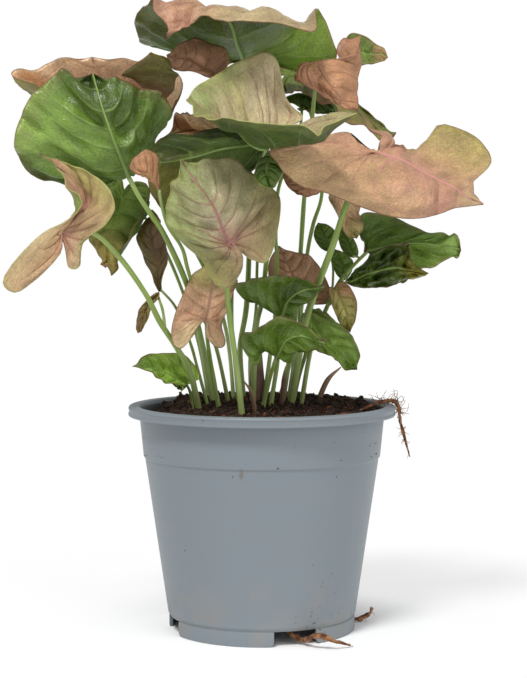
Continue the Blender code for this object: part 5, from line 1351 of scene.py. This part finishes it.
GROUPS = {"leaf face": leaf_face_group(), "grime": grime_group()}
MATERIALS = {
    "leaf upper": leaf_material("upper", net_show=0.07, vein_lift=-0.8, specular=0.4),
    "leaf under": leaf_material("under", net_show=0.1, vein_lift=1.0, specular=0.5),
    "stalk": stalk_material("stalk skin", 0.42),
    "sheath": stalk_material("sheath skin", 0.6),
    "pot": pot_material(),
    "soil": crumbly_material("peat", "soil", "soil light", 420.0, 0.0012),
    "crumb": crumbly_material("peat crumbs", "soil", "soil brown", 300.0, 0.0006),
    "fibre": crumbly_material("fibres", "soil brown", "fibre", 200.0, 0.0002),
    "bark": crumbly_material("bark", "bark dark", "bark", 260.0, 0.0008),
    "root": crumbly_material("root skin", "root dark", "root", 350.0, 0.0004),
    "floor": floor_material(),
}


# Pot

def arc(centre, radius, start, end, steps):
    """Points (radius, height) of a round stretch of a profile, its angles in degrees."""
    return [(centre[0] + radius * math.cos(a), centre[1] + radius * math.sin(a))
            for a in np.radians(np.linspace(start, end, steps))]


def wall_at(heights, inwards=0.0):
    return [(wall_radius(z) - inwards, z) for z in heights]


def pot_profile():
    """Half section of the pot, up its outside and down its inside, as (radius, height)."""
    lip_low = RIM_TOP - RIM_DEPTH
    lip_inside = RIM_RADIUS - RIM_LIP
    floor_top = BASE_HEIGHT + FLOOR
    outside = [(FOOT_RADIUS - FOOT_WALL, 0.0)]
    outside += arc((FOOT_RADIUS - FOOT_ROUND, FOOT_ROUND), FOOT_ROUND, -90, 0, 4)
    outside += [(FOOT_RADIUS + aside, BASE_HEIGHT + up) for aside, up in FOOT_GROOVE]
    outside += arc((BASE_RADIUS - BASE_ROUND, BASE_HEIGHT + BASE_ROUND), BASE_ROUND, -40, 0, 5)
    outside += wall_at(np.linspace(BASE_HEIGHT + BASE_ROUND + 8, STEP_HEIGHT - STEP_DROP - 0.6, 12))
    outside += wall_at((STEP_HEIGHT - STEP_DROP, STEP_HEIGHT - 0.6 * STEP_DROP, STEP_HEIGHT))
    outside += wall_at(np.linspace(STEP_HEIGHT + 6, RIM_TOP - RIM_LIP - 1, 4))
    outside += [(wall_radius(RIM_TOP - RIM_LIP) + 0.3, RIM_TOP - RIM_LIP)]
    outside += [(lip_inside, RIM_TOP - RIM_LIP - 0.3), (lip_inside, lip_low + 0.3)]
    outside += arc((RIM_RADIUS - LIP_ROUND, lip_low + LIP_ROUND), LIP_ROUND, -120, 0, 5)
    outside += [(RIM_RADIUS, lip_low + 1.5), (RIM_RADIUS - RIM_BAND, lip_low + 1.8)]
    outside += [(RIM_RADIUS - RIM_BAND, RIM_TOP - 2.2)]
    outside += arc((RIM_RADIUS - RIM_ROUND, RIM_TOP - RIM_ROUND), RIM_ROUND, 0, 90, 8)
    inside = arc((wall_radius(RIM_TOP) + 0.6, RIM_TOP - MOUTH_ROUND), MOUTH_ROUND, 90, 160, 5)
    inside += wall_at((RIM_TOP - 4, STEP_HEIGHT, STEP_HEIGHT - STEP_DROP, floor_top + 1.5), WALL)
    inside += [(BASE_RADIUS - WALL - FLOOR_FILLET, floor_top), (0.0, floor_top), (0.0, BASE_HEIGHT)]
    return outside + inside + [(FOOT_RADIUS - FOOT_WALL, BASE_HEIGHT)]


def turned(name, profile, material, segments):
    """A closed profile of (radius, height) turned round the pot's axis."""
    verts = [(r * math.cos(a), r * math.sin(a), z) for a in full_turn(segments) for r, z in profile]
    count = len(profile)
    faces = [face for face in grid_faces(segments, count, round_rows=True, round_columns=True)
             if profile[face[0] % count][0] or profile[face[3] % count][0]]
    return place_piece(name, plain_mesh(name, verts, faces), material)


def prism(name, outline, places):
    """A closed block between two copies of an outline, each put in its place by a function."""
    count = len(outline)
    points = [put(p) for put in places for p in outline]
    faces = [tuple(range(count)), tuple(range(2 * count - 1, count - 1, -1))]
    faces += [(j, (j + 1) % count, count + (j + 1) % count, count + j) for j in range(count)]
    return place_piece(name, plain_mesh(name, points, faces), "pot")


def outward(degrees):
    """The level direction this many degrees round from the front of the pot."""
    turn = math.radians(degrees)
    return np.array([math.sin(turn), -math.cos(turn), 0])


def foot_gap_tool(degrees):
    """A block that cuts one gap in the foot, wider towards the ground with rounded corners."""
    half = FOOT_RADIUS * math.sin(math.radians(FOOT_GAP_WIDTH / 2))
    outline = [(-half, BASE_HEIGHT - 0.4)]
    outline += [(-half - FOOT_GAP_FLARE * (1 - math.cos(a)), FOOT_GAP_FLARE * (1 - math.sin(a)))
                for a in np.radians(np.linspace(0, 90, 9))]
    outline.append((-half - FOOT_GAP_FLARE, -CUT_BEYOND))
    outline += [(-x, z) for x, z in outline[::-1]]
    out, side = outward(degrees), outward(degrees + 90)
    places = [lambda p, reach=reach: out * reach + side * p[0] + np.array([0, 0, p[1]])
              for reach in FOOT_RADIUS + np.array(FOOT_GAP_CUT)]
    return prism("gap tool", outline, places)


def drain_tool(degrees):
    middle = outward(degrees) * DRAIN_FROM_AXIS
    ring = [(DRAIN_RADIUS * math.cos(a), DRAIN_RADIUS * math.sin(a)) for a in full_turn(36)]
    places = [lambda p, z=z: middle + np.array([p[0], p[1], z])
              for z in (BASE_HEIGHT - CUT_BEYOND, BASE_HEIGHT + FLOOR + CUT_BEYOND)]
    return prism("drain tool", ring, places)


def make_pot():
    pot = turned("nursery_pot", pot_profile(), "pot", POT_SEGMENTS)
    for degrees in FOOT_GAPS:
        for tool in (foot_gap_tool(degrees), drain_tool(degrees)):
            cut = pot.modifiers.new("cut", "BOOLEAN")
            cut.operation = "DIFFERENCE"
            cut.solver = "EXACT"
            cut.object = tool
            bake(pot)
            bpy.data.objects.remove(tool)
    pot.data.set_sharp_from_angle(angle=math.radians(POT_SHARP))
    return pot


# Soil

def soil_points():
    """Columns of points round the axis: up the inside of the pot, then over the lumpy top to the middle."""
    floor = BASE_HEIGHT + FLOOR + SOIL_GAP
    heights = (BASE_HEIGHT + FLOOR + 3.0, STEP_HEIGHT - STEP_DROP, STEP_HEIGHT)
    sides = [(0.0, floor), (BASE_RADIUS - WALL - 2.6, floor), *wall_at(heights, WALL + SOIL_GAP)]
    top_radius = wall_radius(SOIL_LEVEL - 8) - WALL - SOIL_GAP
    columns = []
    for a in full_turn(SOIL_SEGMENTS):
        column = [(r * math.cos(a), r * math.sin(a), z) for r, z in sides]
        for r in np.linspace(top_radius, 0, SOIL_RINGS):
            x, y = r * math.cos(a), r * math.sin(a)
            column.append((x, y, soil_top(x, y)))
        columns.append(column)
    points = np.array(columns)
    top = points[:, len(sides):]
    behind = smoothstep(*SOIL_BACK_FROM, top[..., 1]) * smoothstep(*SOIL_BACK_LEFT, top[..., 0])
    rough = lumps(top[..., 0], top[..., 1], 4, SOIL_LUMPS)
    top[..., 2] += SOIL_ROUGH * rough + SOIL_RISE + SOIL_BACK_RISE * behind
    top[:, -1, 2] = top[:, -1, 2].mean()
    return points


def make_soil():
    """The potting soil: a closed body in the pot with a lumpy top, and crumbs and fibres strewn on it."""
    points = soil_points()
    faces = grid_faces(*points.shape[:2], round_rows=True)
    soil = place_piece("potting_soil", plain_mesh("soil", points.reshape(-1, 3), faces), "soil")
    return join("potting_soil", soil, *strewn_bits(soil))


def random_vector(low, high, seed):
    limits = {0: low, 1: high, "Seed": seed}
    return node(seed.tree, "FunctionNodeRandomValue", limits, data_type="FLOAT_VECTOR")


def strewn_tree():
    """Small bits strewn over the upward faces of a ground."""
    shape = "NodeSocketGeometry"
    tree, takes, gives = new_group(
        "Strewn Bits", "GeometryNodeTree",
        {"Ground": shape, "Density": FLOAT, "Smallest": VECTOR, "Largest": VECTOR, "Tilt": FLOAT,
         "Seed": "NodeSocketInt", "Stuff": "NodeSocketMaterial"},
        {"Bits": shape})
    tilt, seed = takes["Tilt"], takes["Seed"]
    upward = calc("GREATER_THAN", parts_of(node(tree, "GeometryNodeInputNormal"))[2], LITTER_UPWARD)
    spots = node(tree, "GeometryNodeDistributePointsOnFaces", {
        "Mesh": takes["Ground"], "Selection": upward, "Density": takes["Density"], "Seed": seed}, "Points")
    grain = node(tree, "GeometryNodeMeshIcoSphere", {"Radius": 1.0, "Subdivisions": 1}, "Mesh")
    size = random_vector(takes["Smallest"], takes["Largest"], seed)
    back = tilt * -1.0
    low = node(tree, "ShaderNodeCombineXYZ", {0: back, 1: back, 2: 0.0})
    high = node(tree, "ShaderNodeCombineXYZ", {0: tilt, 1: tilt, 2: 2 * math.pi})
    bits = node(tree, "GeometryNodeInstanceOnPoints", {
        "Points": spots, "Instance": grain, "Scale": size, "Rotation": random_vector(low, high, seed)})
    real = node(tree, "GeometryNodeRealizeInstances", {0: bits})
    place = node(tree, "GeometryNodeInputPosition")
    rough = node(tree, "ShaderNodeTexNoise", {"Vector": place, "Scale": 700.0}, "Color")
    dent = scaled(vector_calc("SUBTRACT", rough, (0.5, 0.5, 0.5)), LITTER_DENT)
    bent = node(tree, "GeometryNodeSetPosition", {"Geometry": real, "Offset": dent})
    coated = {"Geometry": bent, "Material": takes["Stuff"]}
    feed(gives["Bits"], node(tree, "GeometryNodeSetMaterial", coated))
    return tree


def strewn_bits(ground):
    tree = strewn_tree()
    sockets = {item.name: item.identifier for item in tree.interface.items_tree if item.in_out == "INPUT"}
    made = []
    for seed, (stuff, density, smallest, largest, tilt) in enumerate(LITTER):
        bits = bpy.data.objects.new("bits " + stuff, ground.data.copy())
        bpy.context.scene.collection.objects.link(bits)
        strew = bits.modifiers.new("strew", "NODES")
        strew.node_group = tree
        values = {"Density": float(density), "Smallest": [s * MM for s in smallest], "Tilt": tilt,
                  "Largest": [s * MM for s in largest], "Seed": seed, "Stuff": MATERIALS[stuff]}
        for label, value in values.items():
            strew[sockets[label]] = value
        bake(bits)
        made.append(bits)
    return made


# Roots, bark and shoots

def tapering(points, radii, steps, sides=10):
    """A knotty round root along a smooth path, its radii spread evenly along it, above the ground."""
    path = smooth_path(points, steps)
    share = np.linspace(0, 1, len(path))
    knots = np.arange(len(path))
    uneven = ROOT_KNOTS[0] * np.sin(knots * 1.9) * np.sin(knots * 0.7 + 1)
    uneven += ROOT_KNOTS[1] * np.sin(knots * 0.9 + len(path))
    width = np.interp(share, np.linspace(0, 1, len(radii)), radii) * (1 + uneven)
    stray = np.stack([np.sin(knots * 1.3), np.sin(knots * 1.7 + 2), np.sin(knots * 1.1 + 4)], 1)
    path = path + stray * width[:, None] * ROOT_STRAY
    path[:, 2] = np.maximum(path[:, 2], width * 1.1)
    return add_tube("root", tube_rings(path, width, sides), "root", strand_tints(share, "root"))


def rootlets(path_points, count, length, seed, drop=0.3):
    """Fine side roots that leave a root along its way."""
    draw = np.random.default_rng(seed)
    path = smooth_path(path_points, 6)
    made = []
    for _ in range(count):
        start = path[int(draw.uniform(0.25, 0.98) * (len(path) - 1))]
        way = draw.normal(size=3) * [1, 0.6, 1] - [0, 0, drop]
        way = way / np.linalg.norm(way) * length * draw.uniform(0.4, 1.0)
        bend = draw.normal(size=3) * length * 0.15
        made.append(tapering([start, start + way * 0.5 + bend, start + way], ROOTLET_RADII, 4, sides=5))
    return made


def root_over_rim():
    """Roots that climb from the soil over the rim and hang down outside, frayed into fine strands."""
    over = np.array(ROOT_OVER_RIM)
    draw = np.random.default_rng(21)
    made = [tapering(over, RIM_RADII, 6)]
    for k in range(RIM_STRANDS):
        first = int(draw.integers(0, 3))
        last = int(draw.integers(6, 10)) if k % 2 else 6
        stray = draw.normal(size=(last - first, 3)) * (0.7, 1.5, 0.6)
        stray[:2] *= 0.5
        made.append(tapering(over[first:last] + stray, RIM_STRAND_RADII, 5, sides=6))
    made += rootlets(over[:6], 60, 10.0, 3, 0.1) + rootlets(over[5:], 16, 5.0, 8)
    return join("root_over_rim", *made)


def root_from_gap(name):
    """A root that leaves a drain hole, passes through a gap in the foot and lies along the pot."""
    plan = GAP_ROOTS[name]
    out = outward(FOOT_GAPS[plan["gap"]])
    way = [out * DRAIN_FROM_AXIS + [0, 0, BASE_HEIGHT + FLOOR - 0.3]]
    way += [out * (DRAIN_FROM_AXIS + 1.2) + [0, 0, 6.2], *(sight(place) for place in plan["way"])]
    made = [tapering(way, plan["radii"], 7)]
    draw = np.random.default_rng(plan["seed"])
    for _ in range(2):
        stray = draw.normal(size=(4, 3)) * (1.2, 1.0, 0.8)
        made.append(tapering(np.array(way[-4:]) + stray, GAP_STRAND_RADII, 6, sides=7))
    return join("root_at_" + name, *made, *rootlets(way[2:], plan["rootlets"], 5.0, plan["seed"]))


def bark_chip():
    """A chip of bark lying on the soil at the right, with a split and ridged skin."""
    start, end = np.array(BARK_ENDS)
    along = (end - start) / np.linalg.norm(end - start)
    across = np.array([-along[1], along[0]])
    draw = np.random.default_rng(11)
    at, widths, heights = zip(*BARK_GIRTHS)
    rings = []
    for t in np.linspace(0, 1, BARK_RINGS):
        wide, high = np.interp(t, at, widths), np.interp(t, at, heights)
        middle = start + (end - start) * t
        ring = []
        for a in full_turn(BARK_SIDES):
            rough = draw.uniform(-BARK_ROUGH, BARK_ROUGH)
            ridge = 1 + BARK_RIDGE * math.sin(a * BARK_RIDGES + t * 3) + rough
            x, y = middle + across * wide * math.cos(a) * ridge
            ring.append((x, y, soil_top(x, y) + SEAT_GAP + high * (0.5 + 0.5 * math.sin(a) * ridge)))
        rings.append(ring)
    tints = strand_tints(np.linspace(0, 1, BARK_RINGS), "bark")
    return add_tube("bark_on_soil", np.array(rings), "bark", tints)


def shoot(name):
    """A stem base, sheath or dry sliver that rises from the soil, fluted and drawn to a point."""
    plan = SHOOTS[name]
    path = smooth_path([foot_point(plan["foot"]), *(sight(place) for place in plan["path"])], 9)
    share = np.linspace(0, 1, len(path))
    rings = tube_rings(path, np.interp(share * 2, range(3), plan["radii"]), SHOOT_SIDES)
    flutes, deep = SHOOT_FLUTES
    flute = 1 + deep * np.sin(full_turn(SHOOT_SIDES) * flutes)
    rings = path[:, None] + (rings - path[:, None]) * flute[None, :, None]
    return add_tube("shoot_" + name, rings, "sheath", strand_tints(share, *plan["paints"]))


# The plant put together

def ride(piece, slot, *nodes):
    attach(piece, "root")
    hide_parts(*nodes)


def grow_leaves():
    for name, leaf in LEAVES.items():
        blade, *strands = add_blade(name)
        petiole, midrib = add_stalk(name)
        ride(join("blade_" + name, blade, midrib, *strands), leaf["slot"], "leaf_" + name)
        ride(petiole, "stalk", ("leaf_" if leaf.get("fused") else "stalk_") + name)


def studio_world():
    """Even light from all round, behind which the camera sees plain white."""
    world = bpy.data.worlds.new("studio")
    world.use_nodes = True
    seen = node(world.node_tree, "ShaderNodeLightPath", {}, "Is Camera Ray")
    background = world.node_tree.nodes["Background"]
    background.inputs["Color"].default_value = (1.0, 1.0, 1.0, 1.0)
    feed(background.inputs["Strength"], seen * (1.0 - WORLD_LIGHT) + WORLD_LIGHT)
    return world


def set_stage():
    """The pale floor, the soft lights and the camera at the front view."""
    scene = bpy.context.scene
    mesh = bpy.data.meshes.new("floor")
    corners = [(x * FLOOR_HALF, y * FLOOR_HALF, 0) for x, y in ((-1, -1), (1, -1), (1, 1), (-1, 1))]
    mesh.from_pydata(corners, [], [(0, 1, 2, 3)])
    mesh.materials.append(MATERIALS["floor"])
    floor = bpy.data.objects.new("floor", mesh)
    scene.collection.objects.link(floor)
    scene.world = studio_world()
    for label, (place, width, strength) in LIGHTS.items():
        lamp = bpy.data.lights.new(label, "SUN")
        lamp.angle = math.radians(width)
        lamp.energy = strength
        made = bpy.data.objects.new(label, lamp)
        made.rotation_euler = Vector(place).to_track_quat("Z", "Y").to_euler()
        scene.collection.objects.link(made)
    camera = bpy.data.cameras.new("camera")
    camera.lens = camera.sensor_width * EYE_REACH / VIEW_HEIGHT
    made = bpy.data.objects.new("camera", camera)
    made.location = (EYE + AXIS) * MM
    made.rotation_euler = Euler((math.pi / 2 - EYE_TILT, 0, 0))
    scene.collection.objects.link(made)
    scene.camera = made
    scene.view_settings.view_transform = "Standard"


def main():
    set_stage()
    ride(make_pot(), "pot", "pot")
    ride(make_soil(), "soil", "soil")
    grow_leaves()
    for name in SHOOTS:
        ride(shoot(name), SHOOTS[name]["slot"], name)
    ride(bark_chip(), "bark", "bark_chip")
    ride(root_over_rim(), "root", "root_rim")
    for name in GAP_ROOTS:
        ride(root_from_gap(name), "root", "root_" + name)


main()
